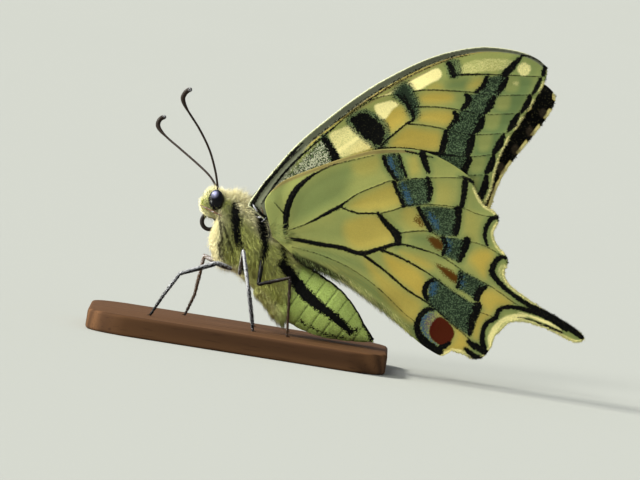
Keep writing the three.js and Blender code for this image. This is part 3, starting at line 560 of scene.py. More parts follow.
def foot_place(foot):
    """Where a line straight down the insect's own z, at x and y, meets the level of the soles."""
    top = to_upright([(foot[0], foot[1], 0)])[0]
    down = np.array(insect_matrix())[:3, :3] @ np.array([0, 0, -1])
    return top + down * (top[2] - BASE_TOP) / -down[2]


def unit(vectors):
    return vectors / np.maximum(np.linalg.norm(vectors, axis=-1, keepdims=True), 1e-12)


def smoothstep(low, high, value):
    share = np.clip((value - low) / (high - low), 0, 1)
    return share * share * (3 - 2 * share)


def catmull(points, per_segment, closed=False):
    """A smooth line through points, with the same number of places along each stretch."""
    p = np.array(points, float)
    if closed:
        before, start, end, after = np.roll(p, 1, 0), p, np.roll(p, -1, 0), np.roll(p, -2, 0)
    else:
        before, start, end = np.vstack([p[:1], p[:-2]]), p[:-1], p[1:]
        after = np.vstack([p[2:], p[-1:]])
    t = (np.arange(per_segment) / per_segment)[None, :, None]
    v0, v1 = (end - before)[:, None] / 2, (after - start)[:, None] / 2
    s, e = start[:, None], end[:, None]
    line = (2 * s - 2 * e + v0 + v1) * t ** 3 + (3 * e - 3 * s - 2 * v0 - v1) * t ** 2 + v0 * t + s
    line = line.reshape(-1, p.shape[1])
    return line if closed else np.vstack([line, p[-1:]])


def even_line(points, step, per_segment=24):
    """A smooth line through points, with places at even lengths about step apart."""
    dense = catmull(points, per_segment)
    lengths = np.r_[0, np.cumsum(np.linalg.norm(np.diff(dense, axis=0), axis=1))]
    count = max(int(round(lengths[-1] / step)), 1)
    wanted = np.linspace(0, lengths[-1], count + 1)
    return np.column_stack([np.interp(wanted, lengths, dense[:, axis]) for axis in range(dense.shape[1])])


def close_to(places, line, room):
    """The numbers of the places that lie within room of the box round a line."""
    return np.flatnonzero(((places > line.min(0) - room) & (places < line.max(0) + room)).all(1))


def stretch_distance(places, a, b):
    """How far places are from the stretch between a and b, and how far along it they are, from 0 to 1."""
    along = b - a
    t = np.clip((places - a) @ along / max(along @ along, 1e-9), 0, 1)
    return np.linalg.norm(places - a - t[:, None] * along, axis=1), t


def stroke_field(places, points, widths, reach, steps=5):
    """Distance beyond the edge of a tapering stroke, negative within it and never more than reach."""
    line = catmull(points, steps)
    half = np.interp(np.linspace(0, 1, len(line)), np.linspace(0, 1, len(widths)), widths) / 2
    near = close_to(places, line, reach + half.max())
    field = np.full(len(places), float(reach))
    if len(near) == 0:
        return field
    here = places[near]
    best = np.full(len(near), float(reach))
    for a, b, r, s in zip(line[:-1], line[1:], half[:-1], half[1:]):
        distance, t = stretch_distance(here, a, b)
        best = np.minimum(best, distance - (r + (s - r) * t))
    field[near] = best
    return field


def patch_field(places, loop, reach, steps=4):
    """Distance outside a closed loop, negative inside and never more than reach."""
    line = catmull(loop, steps, closed=True)
    near = close_to(places, line, reach)
    field = np.full(len(places), float(reach))
    if len(near) == 0:
        return field
    here = places[near]
    best = np.full(len(near), float(reach))
    for a, b in zip(line, np.roll(line, -1, 0)):
        best = np.minimum(best, stretch_distance(here, a, b)[0])
    field[near] = np.where(within(here, line), -best, best)
    return field


def within(places, loop):
    """Whether each place lies inside a closed loop."""
    inside = np.zeros(len(places), bool)
    for (ax, az), (bx, bz) in zip(loop, np.roll(loop, -1, 0)):
        if az == bz:
            continue
        crosses = (az > places[:, 1]) != (bz > places[:, 1])
        inside ^= crosses & (places[:, 0] < (bx - ax) * (places[:, 1] - az) / (bz - az) + ax)
    return inside


def strokes(places, marks, reach=1.0):
    return np.min([stroke_field(places, points, widths, reach) for points, widths in marks], axis=0)


def patches(places, marks, soft=0.25):
    """Strength of the strongest patch at each place, fading over soft either side of its edge."""
    strength = np.zeros(len(places))
    for loop, level in marks:
        field = patch_field(places, loop, soft * 1.5)
        strength = np.maximum(strength, level * smoothstep(soft, -soft, field))
    return strength


def new_mesh(name, points, triangles, corner_uv=None, values=None):
    """An object in the scene from arrays: points in metres, triangles, and named numbers at the points."""
    mesh = bpy.data.meshes.new(name)
    triangles = np.ascontiguousarray(triangles, np.int32)
    mesh.vertices.add(len(points))
    mesh.vertices.foreach_set("co", np.asarray(points, np.float32).ravel())
    mesh.loops.add(triangles.size)
    mesh.loops.foreach_set("vertex_index", triangles.ravel())
    mesh.polygons.add(len(triangles))
    mesh.polygons.foreach_set("loop_start", np.arange(len(triangles), dtype=np.int32) * 3)
    mesh.polygons.foreach_set("use_smooth", np.ones(len(triangles), bool))
    mesh.update(calc_edges=True)
    if corner_uv is not None:
        layer = mesh.uv_layers.new(name="OFBake")
        layer.uv.foreach_set("vector", np.asarray(corner_uv, np.float32).ravel())
    for key, value in (values or {}).items():
        attribute = mesh.attributes.new(key, "FLOAT", "POINT")
        attribute.data.foreach_set("value", np.asarray(value, np.float32))
    mesh.validate()
    piece = bpy.data.objects.new(name, mesh)
    bpy.context.scene.collection.objects.link(piece)
    return piece


def settle(piece, material, slot, *nodes):
    """Gives a finished piece its material and its body, and hides the solids it stands for. The slot is not
    used.
    """
    piece.data.materials.clear()
    piece.data.materials.append(material)
    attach(piece, "root")
    if nodes:
        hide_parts(*nodes)
    return piece


class Bundle:
    """Meshes gathered to become one piece."""

    def __init__(self):
        self.points = []
        self.triangles = []
        self.uv = []
        self.values = {}
        self.count = 0

    def add(self, points, triangles, uv=None, **values):
        points = np.asarray(points, float)
        self.points.append(points)
        self.triangles.append(np.asarray(triangles, int) + self.count)
        if uv is not None:
            self.uv.append(uv)
        for key, value in values.items():
            self.values.setdefault(key, []).append(np.broadcast_to(value, len(points)))
        self.count += len(points)

    def build(self, name):
        """The gathered meshes as one object; the points are upright and in millimetres."""
        uv = np.concatenate(self.uv) if self.uv else None
        values = {key: np.concatenate(value) for key, value in self.values.items()}
        return new_mesh(name, np.concatenate(self.points) * MM, np.concatenate(self.triangles), uv, values)


def point_rings(rings, sides):
    """The ring that each point of a closed tube belongs to."""
    return np.r_[0, np.repeat(np.arange(rings), sides), rings - 1]


def grid_triangles(rings, sides):
    """Triangles of a closed tube of rings with a point at each end, which are the first and the last."""
    ring, side = np.meshgrid(np.arange(rings - 1), np.arange(sides), indexing="ij")
    following = (side + 1) % sides
    a, b = 1 + ring * sides + side, 1 + ring * sides + following
    c, d = b + sides, a + sides
    walls = np.stack([np.stack([a, b, c], -1), np.stack([a, c, d], -1)], 2).reshape(-1, 3)
    here = np.arange(sides)
    last = 1 + rings * sides
    start = np.column_stack([np.zeros(sides, int), 1 + (here + 1) % sides, 1 + here])
    end_ring = 1 + (rings - 1) * sides
    end = np.column_stack([np.full(sides, last), end_ring + here, end_ring + (here + 1) % sides])
    return np.vstack([start, walls, end])


def corners_of(points, triangles):
    """The first, second and third corners of all the triangles."""
    return (points[triangles[:, corner]] for corner in range(3))


def faced_out(points, triangles):
    """The triangles of a closed mesh, turned over where they face inwards."""
    a, b, c = corners_of(points, triangles)
    volume = np.einsum("ij,ij->i", a, np.cross(b, c)).sum()
    return triangles if volume > 0 else triangles[:, ::-1]


def tube(places, radii, sides=10, flat=1.0):
    """A closed round tube along places, with a radius at each. Flat squeezes it along its second axis."""
    places = np.asarray(places, float)
    radii = np.asarray(radii, float)
    tangents = unit(np.gradient(places, axis=0))
    across = unit(np.cross((0.3, 0.2, 1.0), tangents[0]))
    angles = np.arange(sides) / sides * 2 * math.pi
    rings = []
    for place, tangent, radius in zip(places, tangents, radii):
        across = unit(across - tangent * (across @ tangent))
        up = np.cross(tangent, across)
        around = np.cos(angles)[:, None] * across + flat * np.sin(angles)[:, None] * up
        rings.append(place + radius * around)
    points = np.vstack([places[:1], np.vstack(rings), places[-1:]])
    return points, faced_out(points, grid_triangles(len(places), sides))


def hairs(roots, along, out, length, radius, rise, rng, droop=0.5, roll=0.45):
    """Bent spikes, closed, with a ring at the root, one in the middle and a point.

    Along is the way each lies, out the way it stands from the skin and rise how steeply it leaves it. One
    flat side faces outwards, more or less as roll is small or great.
    """
    count = len(roots)
    along, out = unit(along), unit(out)
    length, radius, rise = (np.broadcast_to(value, count)[:, None] for value in (length, radius, rise))
    first = unit(along * np.cos(rise) + out * np.sin(rise))
    second = unit(along * np.cos(rise * droop) + out * np.sin(rise * droop))
    side = unit(np.cross(first, out + 1e-6))
    up = np.cross(side, first)
    middle = roots + first * length * 0.5
    tip = middle + second * length * 0.5
    turn = math.pi / 6 + rng.normal(0, roll, (count, 1))
    points = np.empty((count, 7, 3))
    for corner in range(3):
        angle = turn + corner * 2 * math.pi / 3
        offset = (np.cos(angle) * side + np.sin(angle) * up) * radius
        points[:, corner] = roots + offset
        points[:, 3 + corner] = middle + offset * 0.8
    points[:, 6] = tip
    return points


HAIR_POINTS = 7
HAIR_TRIANGLES = np.array([(0, 2, 1), (0, 1, 4), (0, 4, 3), (1, 2, 5), (1, 5, 4), (2, 0, 3), (2, 3, 5),
                           (3, 4, 6), (4, 5, 6), (5, 3, 6)])
HAIR_SPREAD = np.array([(0, 0), (1, 0), (0.5, 1), (0.2, 0.4), (0.8, 0.4), (0.5, 0.9), (0.5, 0.5)]) - 0.5
PATCH = 0.003  # width of a hair's patch on the unwrap of the skin


def hair_triangles(count):
    """The triangles of that many hairs laid end to end in one list of points."""
    return (HAIR_TRIANGLES[None] + np.arange(count)[:, None, None] * HAIR_POINTS).reshape(-1, 3)


def hair_uv(root_uv, triangles):
    """Each hair's own small patch of the unwrap, at its root's place."""
    return (root_uv[:, None] + HAIR_SPREAD[None] * PATCH).reshape(-1, 2)[triangles]


def add_hairs(bundle, points, root_uv=None, **values):
    """Adds hairs to a bundle, each with its own patch of the unwrap at its root's place."""
    count = len(points)
    triangles = hair_triangles(count)
    uv = None if root_uv is None else hair_uv(root_uv, triangles)
    values = {key: np.repeat(np.broadcast_to(value, count), HAIR_POINTS) for key, value in values.items()}
    values["tip"] = np.tile([0, 0, 0, 0.5, 0.5, 0.5, 1], count)
    bundle.add(to_upright(points.reshape(-1, 3)), triangles, uv, **values)


def add_horn(bundle, line, girth, sides, pale, brown, flat=1.0):
    """Adds a tube of horn along a line in the insect's frame."""
    points, triangles = tube(line, girth, sides, flat)
    bundle.add(to_upright(points), triangles, pale=pale, brown=brown)


def deselect():
    bpy.ops.object.select_all(action="DESELECT")


# ---- Shapes: body ----


def body_grid(rings, sides):
    """Points of the body's skin ring by ring, with each ring's station and middle."""
    table = [(*back, *belly, half, depth) for back, belly, half, depth in STATIONS]
    dense = catmull(table, 40)
    middle_line = (dense[:, 0:2] + dense[:, 2:4]) / 2
    lengths = np.r_[0, np.cumsum(np.linalg.norm(np.diff(middle_line, axis=0), axis=1))]
    wanted = np.linspace(0, lengths[-1], rings)
    row = np.column_stack([np.interp(wanted, lengths, dense[:, column]) for column in range(6)])
    station = np.interp(wanted, lengths, np.linspace(0, len(STATIONS) - 1, len(dense)))
    up = (row[:, 0:2] - row[:, 2:4]) / 2
    height = np.linalg.norm(up, axis=1)
    middle = (row[:, 0:2] + row[:, 2:4]) / 2
    angles = np.arange(sides) / sides * 2 * math.pi
    since = (wanted - np.interp(WAIST, station, wanted))[:, None] - SLANT * height[:, None] * np.cos(angles)
    seam = np.where(since > 0, np.abs((since / SEGMENT + 0.5) % 1 - 0.5) * SEGMENT, SEGMENT)
    swell = 0.05 * smoothstep(0, 0.4, seam) * (since > 0)
    depth = row[:, 5, None] - 0.03 - swell
    shrink = np.maximum(height[:, None] - depth, 0.04) / height[:, None]
    half = np.maximum(row[:, 4, None] - depth, 0.04)
    rise = np.cos(angles)[None, :] * shrink
    points = np.empty((rings, sides, 3))
    points[..., 0] = middle[:, None, 0] + up[:, None, 0] * rise
    points[..., 2] = middle[:, None, 1] + up[:, None, 1] * rise
    points[..., 1] = half * np.sin(angles)[None, :]
    ends = [np.array([middle[row_number, 0], 0, middle[row_number, 1]]) for row_number in (0, -1)]
    return points, station, seam, ends


def body_marks(places, out, rear=0.0):
    """The markings of the skin and of the coat, at places in the insect's frame with their ways out.

    Rear is 1 on the abdomen and 0 before it.
    """
    flat = places[:, [0, 2]]
    stripe = strokes(flat, BODY_STRIPES)
    streak = strokes(flat, BODY_STREAKS)
    back = catmull([row[0] for row in STATIONS[11:]], 12)
    ridge = np.min([np.linalg.norm(flat - point, axis=1) for point in back], axis=0)
    ridge = np.hypot(ridge, places[:, 1])
    # Painted shade: fur that faces sideways, and the underside from the middle of the thorax back, takes the
    # fur's shaded colour; painted light keeps the crown and the breast pale.
    flank = smoothstep(0.45, 0.85, np.abs(out[:, 1]))
    crown = line_distance(flat, [row[0] for row in STATIONS[2:9]])
    breast = line_distance(flat, [row[1] for row in STATIONS[3:7]])
    deep = np.interp(flat[:, 0], (-4.2, -3.6), (1.5, 3.3))
    pale = np.maximum(smoothstep(1.0, 0.5, crown / deep), smoothstep(1.7, 0.8, breast))
    under = 0.8 * smoothstep(0.1, 0.6, -out[:, 2]) * smoothstep(-3.5, -1.5, flat[:, 0])
    shade = np.maximum(np.maximum(flank, under) * (1 - 0.9 * pale), rear)
    ridge_width = np.interp(flat[:, 0], (3.5, 4.5, 7.0, 10.5, 12.0, 13.3),
                            (0.2, 0.95, 1.05, 0.95, 0.95, 0.6))
    return {"black": np.minimum(stripe, ridge - ridge_width), "streak": streak, "shade": shade,
            "dusk": flank * patches(flat, BODY_SHADE_PATCHES, 0.6), "rear": np.broadcast_to(rear, len(flat))}


def face_crosses(points, triangles):
    """Each triangle's way out, as long as twice its area."""
    a, b, c = corners_of(points, triangles)
    return np.cross(b - a, c - a)


def vertex_normals(points, triangles):
    cross = face_crosses(points, triangles)
    normals = np.zeros_like(points)
    for corner in range(3):
        np.add.at(normals, triangles[:, corner], cross)
    return unit(normals)


def skin_mesh(rings=170, sides=96):
    """The skin of head, thorax and abdomen: points, triangles, corner UVs, station and seam."""
    points, station, seam, ends = body_grid(rings, sides)
    flat = np.vstack([ends[0], points.reshape(-1, 3), ends[1]])
    triangles = grid_triangles(rings, sides)
    ring = point_rings(rings, sides)
    side = np.r_[0, np.tile(np.arange(sides), rings), 0]
    corner_side = side[triangles].astype(float)
    wraps = corner_side.max(1) - corner_side.min(1) > sides / 2
    over = corner_side[wraps]
    corner_side[wraps] = np.where(over < sides / 2, over + sides, over)
    pole = (triangles == 0) | (triangles == len(flat) - 1)
    centre = np.where(pole, 0, corner_side).sum(1) / np.maximum((~pole).sum(1), 1)
    corner_side = np.where(pole, centre[:, None], corner_side)
    u = 0.02 + 0.8 * corner_side / sides
    v = 0.02 + 0.96 * ring[triangles] / (rings - 1)
    uv = np.stack([u, v], -1)
    turned = faced_out(flat, triangles)
    if turned is not triangles:
        uv = uv[:, ::-1]
    station = np.r_[0, np.repeat(station, sides), len(STATIONS) - 1]
    seam = np.r_[1, seam.reshape(-1), 1]
    return flat, turned, uv, station, seam


def palp_mesh(side, sides=12):
    """A palp: points, triangles and corner UVs."""
    joints = [(x, side * y, z) for x, y, z in PALP["joints"]]
    line = even_line(joints, 0.12)
    girth = np.interp(np.linspace(0, 1, len(line)), (0, 0.5, 1), PALP["girth"])
    points, triangles = tube(line, girth, sides)
    ring = point_rings(len(line), sides) / (len(line) - 1)
    around = np.r_[0, np.tile(np.arange(sides), len(line)), 0] / sides
    base_u = 0.85 if side < 0 else 0.93
    uv = np.stack([base_u + 0.05 * around, 0.05 + 0.25 * ring], -1)[triangles]
    return points, triangles, uv


def scattered(points, triangles, uv, weight, count, rng):
    """Random roots on a mesh: place, normal, UV and the numbers of the triangle and its shares."""
    cross = face_crosses(points, triangles)
    area = np.linalg.norm(cross, axis=1) * weight
    picked = np.searchsorted(np.cumsum(area) / area.sum(), rng.random(count)).clip(0, len(area) - 1)
    r, s = rng.random((2, count))
    flip = r + s > 1
    r, s = np.where(flip, 1 - r, r), np.where(flip, 1 - s, s)
    share = np.stack([1 - r - s, r, s], -1)
    corners = points[triangles[picked]]
    place = (corners * share[..., None]).sum(1)
    root_uv = (uv[picked] * share[..., None]).sum(1)
    return place, unit(cross[picked]), root_uv, picked


def coat_lie(places):
    """The way the coat lies at places: back over the head, down the thorax and back along the abdomen."""
    guides = [
        ((-7.4, 2.2), (-0.5, 0.8)), ((-7.0, 0.4), (-0.3, -1.0)), ((-6.0, 3.2), (-0.1, 1.0)),
        ((-5.5, 0.5), (0.5, -0.8)), ((-4.0, 2.9), (0.3, 0.6)), ((-3.0, -2.0), (0.3, -1.0)),
        ((-6.5, -3.5), (-0.3, -1.0)), ((0.0, 0.5), (0.9, -0.5)), ((-1.0, -5.0), (0.35, -1.0)),
        ((1.0, -9.0), (0.6, -1.0)), ((3.5, -6.0), (0.6, -0.8)), ((2.0, -12.0), (0.7, -0.8)),
        ((7.0, -10.0), (0.85, -0.6)), ((12.5, -14.5), (0.8, -0.6)),
    ]
    anchors = np.array([anchor for anchor, _ in guides])
    ways = unit(np.array([way for _, way in guides]))
    flat = places[:, [0, 2]]
    weight = 1 / (((flat[:, None] - anchors[None]) ** 2).sum(-1) + 0.6) ** 2
    way = (weight[..., None] * ways[None]).sum(1)
    return unit(np.column_stack([way[:, 0], np.zeros(len(places)), way[:, 1]]))


def locks(roots, spacing, rng):
    """Deals hairs out to locks: the hairs in the middle of the locks, and each hair's own lock."""
    hubs = rng.choice(len(roots), max(int(len(roots) / spacing), 1), replace=False)
    tree = KDTree(len(hubs))
    for number, hub in enumerate(hubs):
        tree.insert(Vector(roots[hub]), number)
    tree.balance()
    return hubs, np.array([tree.find(Vector(root))[1] for root in roots])


# ---- Shapes: wings ----


def drawn_out(x, z):
    distance = np.maximum((z - HINGE_FROM[1]) * HINGE_ALONG[0] - (x - HINGE_FROM[0]) * HINGE_ALONG[1], 0)
    return SPREAD * distance - CURL * distance ** 2


def stand_wing(wing, flat, offset):
    """Places of a wing's flat frame set in the insect's frame, offset outwards from its middle sheet."""
    turn = math.radians(wing["sweep"])
    x, z = flat[:, 0] - HINGE_FROM[0], flat[:, 1] - HINGE_FROM[1]
    turned_x = x * math.cos(turn) - z * math.sin(turn) + HINGE_FROM[0] + wing["slide"]
    turned_z = x * math.sin(turn) + z * math.cos(turn) + HINGE_FROM[1]
    y = wing["side"] * (wing["hinge"] + drawn_out(turned_x, turned_z) + offset)
    return np.column_stack([turned_x, y, turned_z])


def wing_outline(shape, step):
    return np.vstack([even_line(edge, step)[:-1] for edge in OUTLINES[shape]])


def wing_sheet(shape, step):
    """A flat triangulation of a wing: its places and triangles, anticlockwise with x right and z up."""
    outline = wing_outline(shape, step)
    low, high = outline.min(0), outline.max(0)
    rows = np.arange(low[1], high[1], step * math.sqrt(3) / 2)
    lattice = []
    for number, row in enumerate(rows):
        across = np.arange(low[0] + (number % 2) * step / 2, high[0], step)
        lattice.append(np.column_stack([across, np.full(len(across), row)]))
    lattice = np.vstack(lattice)
    lattice = lattice[within(lattice, outline)]
    field = np.abs(patch_field(lattice, outline, step * 2, steps=1))
    lattice = lattice[field > step * 0.55]
    places = np.vstack([outline, lattice])
    border = [list(range(len(outline)))]
    made = delaunay_2d_cdt([Vector(place) for place in places], [], border, 0, 1e-5, False)
    flat = np.array([tuple(place) for place in made[0]])
    triangles = np.array([tuple(face) for face in made[2]], int)
    triangles = triangles[within(flat[triangles].mean(1), outline)]
    a, b, c = corners_of(flat, triangles)
    area = (b[:, 0] - a[:, 0]) * (c[:, 1] - a[:, 1]) - (b[:, 1] - a[:, 1]) * (c[:, 0] - a[:, 0])
    triangles[area < 0] = triangles[area < 0][:, ::-1]
    return flat, triangles


def line_distance(places, line, reach=3.0):
    return stroke_field(places, line, (0.0, 0.0), reach, steps=1)


def vein_distance(shape, flat, reach):
    """How far places are from the middle line of the nearest vein, and never more than reach."""
    fields = [stroke_field(flat, points, (0.0, 0.0), reach) for points, _ in VEINS[shape].values()]
    return np.min(fields, axis=0)


def vein_end_distance(shape, flat):
    """How far places are from the nearest outer end of a vein."""
    ends = np.array([points[-1] for points, _ in VEINS[shape].values()])
    return np.linalg.norm(flat[:, None] - ends[None], axis=2).min(1)


def wing_marks(shape, flat, upper):
    """Every marking of one face of a wing, as named numbers at its places."""
    fore = shape == "fore"
    veins = VEINS[shape].values()
    vein = strokes(flat, veins)
    spine = vein_distance(shape, flat, 1.5)
    bars = strokes(flat, BARS[shape])
    dust = patches(flat, DUST[shape], 0.3)
    cream = patches(flat, CREAM[shape], 0.22)
    # Warm patches of the underside are painted glow where light shines through the wing.
    warm = patches(flat, WARM[shape], 0.75)
    # Greener patches are painted shade where other wings lie behind; the greener dusting beside dark bars
    # and bands is the wing's own.
    cool = patches(flat, COOL[shape], 1.0)
    near_dark = np.maximum(0.7 * patches(flat, DUST[shape], 1.2), 0.55 * smoothstep(0.8, 0.0, bars))
    cool = np.maximum(cool, near_dark)
    if fore:
        cool = cool * (1 - patches(flat, FORE_GLOW, 0.4))
    tan = smoothstep(0.1, -0.1, strokes(flat, TAN[shape]))
    margin = np.vstack([even_line(OUTLINES[shape][edge], 0.3) for edge in FRINGED[shape]])
    edge = line_distance(flat, margin)
    costa = line_distance(flat, even_line(OUTLINES[shape][0], 0.3)[0 if fore else 14:])
    blank = np.zeros(len(flat))
    marks = dict.fromkeys(SPOTS, blank)
    heavy = [(points, [width if width >= 0.2 else -0.2 for width in widths]) for points, widths in veins]
    black = np.minimum(bars, strokes(flat, heavy))
    if fore:
        for loop, _ in FORE_BLOTS:
            black = np.minimum(black, patch_field(flat, loop, 1.0))
        # Painted highlight: a pale line along the leading edge, where the light catches it.
        rim = smoothstep(0.16, 0.06, costa)
        costa = costa / np.interp(flat[:, 0], (10.0, 20.0, 27.0, 33.0), (1.0, 0.85, 0.6, 0.4))
        beyond = smoothstep(2.0, 6.0, flat[:, 0])
        inner_end = smoothstep(31.0, 24.0, flat[:, 0])
        band = smoothstep(0.1, 0.2, costa)
        marks["pearl"] = np.maximum(1.1 * patches(flat, FORE_DUST[:1], 0.7), 1.2 * rim)
        marks["soot"] = band * smoothstep(0.95, 0.75, costa) * (0.35 + 0.25 * beyond)
        marks["ash"] = band * smoothstep(2.3 - 1.2 * beyond, 1.5 - 0.6 * beyond, costa)
        gold = smoothstep(0.92, 1.0, costa) * smoothstep(1.2, 1.1, costa) * beyond * inner_end
        black = np.minimum(black, np.abs(costa - 0.36) - 0.2 + 0.5 * smoothstep(3.5, 6.5, flat[:, 0]))
        black = np.minimum(black, np.abs(costa - 0.88) - 0.07 + 0.6 * (1 - beyond * inner_end))
        black = np.minimum(black, np.abs(costa - 1.27) - 0.05 + 0.6 * (1 - beyond * inner_end))
        warm = np.maximum(warm, gold)
        cream = np.maximum(cream, 0.3 * gold)
        dust = np.maximum(dust, patches(flat, FORE_SMOKE, 1.0))
        dust = np.maximum(dust, 0.62 * smoothstep(0.9, 0.0, bars) * patches(flat, FORE_DUST[1:2], 0.1))
    else:
        marks["blue"] = 0.85 * patches(flat, HIND_BLUE, 0.45)
        marks["lilac"] = patches(flat, HIND_LILAC, 0.8)
        marks["rust"] = patches(flat, HIND_RUST, 0.35)
        marks["eyespot"] = patches(flat, HIND_EYESPOT, 0.12)
        dust = np.maximum(dust, 0.75 * smoothstep(0.7, 0.0, bars) * patches(flat, HIND_DUST, 0.1))
        streaks = smoothstep(0.45, -0.25, strokes(flat, HIND_STREAKS))
        hair = 0.5 + 0.5 * np.sin((flat[:, 1] + 0.72 * flat[:, 0]) * 16 + 2 * np.sin(flat[:, 0] * 0.9))
        cool = np.maximum(cool, 0.8 * streaks * (1 - hair))
        hem_hair = patches(flat, HIND_HEM, 0.5)
        # Dark hair and painted shadow in the fold against the abdomen.
        fold_hair_and_shadow = 0.95 * smoothstep(0.45, 0.0, strokes(flat, HIND_FOLD_HAIR_AND_SHADOW))
        marks["soot"] = np.maximum(np.maximum(fold_hair_and_shadow, 0.3 * streaks * hair), hem_hair * (0.2 + 0.8 * hair))
    hem = smoothstep(0.42, 0.28, edge) * smoothstep(0.45, 0.75, vein_end_distance(shape, flat))
    if upper:
        dark = patches(flat, (FORE_SMOKE + FORE_DUST[1:2] if fore else HIND_DUST), 0.12)
        black = np.minimum(black, 0.3 - 0.5 * dark)
        black = np.minimum(black, vein - 0.12)
        border = 2.5 if fore else 1.3
        spots = patches(flat, UPPER_SPOTS[shape], 0.1)
        black = np.minimum(black, np.maximum(edge - border, 0.5 * spots - 0.15))
        warm = np.maximum(warm, 0.5)
        cream = np.maximum(cream, spots)
        root = smoothstep(6.0, 1.0, np.hypot(flat[:, 0], flat[:, 1])) * (1.0 if fore else 0.6)
        dust = np.maximum(dust * 0.4, 0.9 * root)
        if fore:
            tan = np.maximum(tan, 0.7 * patches(flat, BROWN_SQUARES, 0.15))
            black = np.minimum(black, costa - 0.5)
        cool = cool * 0.15
        marks["ash"] = blank
        marks["soot"] = marks["soot"] * 0.4
        black = np.maximum(black, hem - 0.4)
        cream = np.maximum(cream, hem)
    cream = np.maximum(cream, (0.45 if fore else 0.6) * hem)
    marks.update({"black": black, "line": vein, "vein": spine, "dust": dust, "cream": cream, "warm": warm,
                  "cool": cool, "tan": tan, "upper": np.full(len(flat), 1.0 if upper else 0.0)})
    return marks


def wing_relief(shape, flat):
    """How far the middle sheet of a wing stands out of its smooth place: it sags between its veins."""
    sag = SAG * smoothstep(0.0, 1.6, vein_distance(shape, flat, 2.5))
    x, z = flat[:, 0], flat[:, 1]
    wave = 0.05 * np.sin(x * 0.9 + z * 0.5) + 0.04 * np.sin(z * 1.3 - x * 0.35)
    return wave - sag


def wing_mesh(name, sheet, marks, half_thickness):
    """Points, triangles, UVs and markings of one wing: an outer and an inner face joined by a rim."""
    wing = WINGS[name]
    flat, triangles = sheet
    relief = wing_relief(wing["shape"], flat)
    ridge = RIDGE * smoothstep(0.3, 0.0, marks[False]["vein"])
    outer = stand_wing(wing, flat, relief + half_thickness + ridge)
    inner = stand_wing(wing, flat, relief - half_thickness - ridge)
    count = len(flat)
    edges = np.vstack([triangles[:, [0, 1]], triangles[:, [1, 2]], triangles[:, [2, 0]]])
    codes = edges[:, 0] * count + edges[:, 1]
    border = edges[~np.isin(edges[:, 1] * count + edges[:, 0], codes)]
    a, b = border[:, 0], border[:, 1]
    rim = np.vstack([np.column_stack([a, b + count, b]), np.column_stack([a, a + count, b + count])])
    faces = np.vstack([triangles, triangles[:, ::-1] + count, rim])
    points = np.vstack([outer, inner])
    if wing["side"] > 0:
        faces = faces[:, ::-1]
    low, high = flat.min(0), flat.max(0)
    scale = min(0.96 / (high[0] - low[0]), 0.47 / (high[1] - low[1]))
    first = 0.02 + (flat - low) * scale
    second = first + (0, 0.5)
    uv = np.vstack([first, second])[faces]
    on_rim = np.zeros(len(faces), bool)
    on_rim[2 * len(triangles):] = True
    crossing = on_rim[:, None] & (faces >= count)
    uv[crossing] = uv[crossing] - (0, 0.5)
    values = {key: np.r_[marks[False][key], marks[True][key]] for key in marks[False]}
    return points, faces, uv, values


def wing_edge_roots(edges, per_mm, rng):
    """Flat places spread at random along edges of a wing, with the way out of the wing at each."""
    roots, ways = [], []
    for edge in edges:
        line = even_line(edge, 0.05)
        length = 0.05 * (len(line) - 1)
        at = np.sort(rng.uniform(0, len(line) - 1.001, int(length * per_mm)))
        index = at.astype(int)
        along = unit(line[index + 1] - line[index])
        place = line[index] + (line[index + 1] - line[index]) * (at - index)[:, None]
        roots.append(place)
        ways.append(np.column_stack([-along[:, 1], along[:, 0]]))
    return np.vstack(roots), np.vstack(ways)


# ---- Materials ----


def linear(red, green, blue):
    """A colour given in screen values from 0 to 255, as Blender wants it."""
    shares = [value / 255 for value in (red, green, blue)]
    return tuple(c / 12.92 if c <= 0.04045 else ((c + 0.055) / 1.055) ** 2.4 for c in shares) + (1.0,)


class Tree:
    """Short ways to add nodes to a node tree and join them."""

    def __init__(self, tree):
        self.tree = tree

    def feed(self, socket, value):
        if isinstance(value, bpy.types.NodeSocket):
            self.tree.links.new(value, socket)
        else:
            socket.default_value = value

    def node(self, kind, inputs=None, **settings):
        made = self.tree.nodes.new(kind)
        for key, value in settings.items():
            setattr(made, key, value)
        for key, value in (inputs or {}).items():
            self.feed(made.inputs[key], value)
        return made

    def math(self, operation, *values):
        return self.node("ShaderNodeMath", dict(enumerate(values)), operation=operation).outputs[0]

    def mix(self, factor, a, b):
        return self.node("ShaderNodeMix", {0: factor, 6: a, 7: b}, data_type="RGBA").outputs[2]

    def span(self, value, low, high, start=0.0, end=1.0):
        inputs = {"Value": value, "From Min": low, "From Max": high, "To Min": start, "To Max": end}
        return self.node("ShaderNodeMapRange", inputs, interpolation_type="SMOOTHSTEP").outputs["Result"]

    def noise(self, where, scale, detail=2.0):
        inputs = {"Vector": where, "Scale": scale, "Detail": detail}
        return self.node("ShaderNodeTexNoise", inputs).outputs["Fac"]

    def number(self, name):
        return self.node("ShaderNodeAttribute", attribute_name=name).outputs["Fac"]

    def millimetres(self):
        """Object coordinates in millimetres."""
        where = self.node("ShaderNodeTexCoord").outputs["Object"]
        return self.node("ShaderNodeVectorMath", {0: where, 3: 1 / MM}, operation="SCALE").outputs[0]

    def group(self, group, **inputs):
        made = self.node("ShaderNodeGroup", node_tree=group)
        for key, value in inputs.items():
            self.feed(made.inputs[key], value)
        return made.outputs


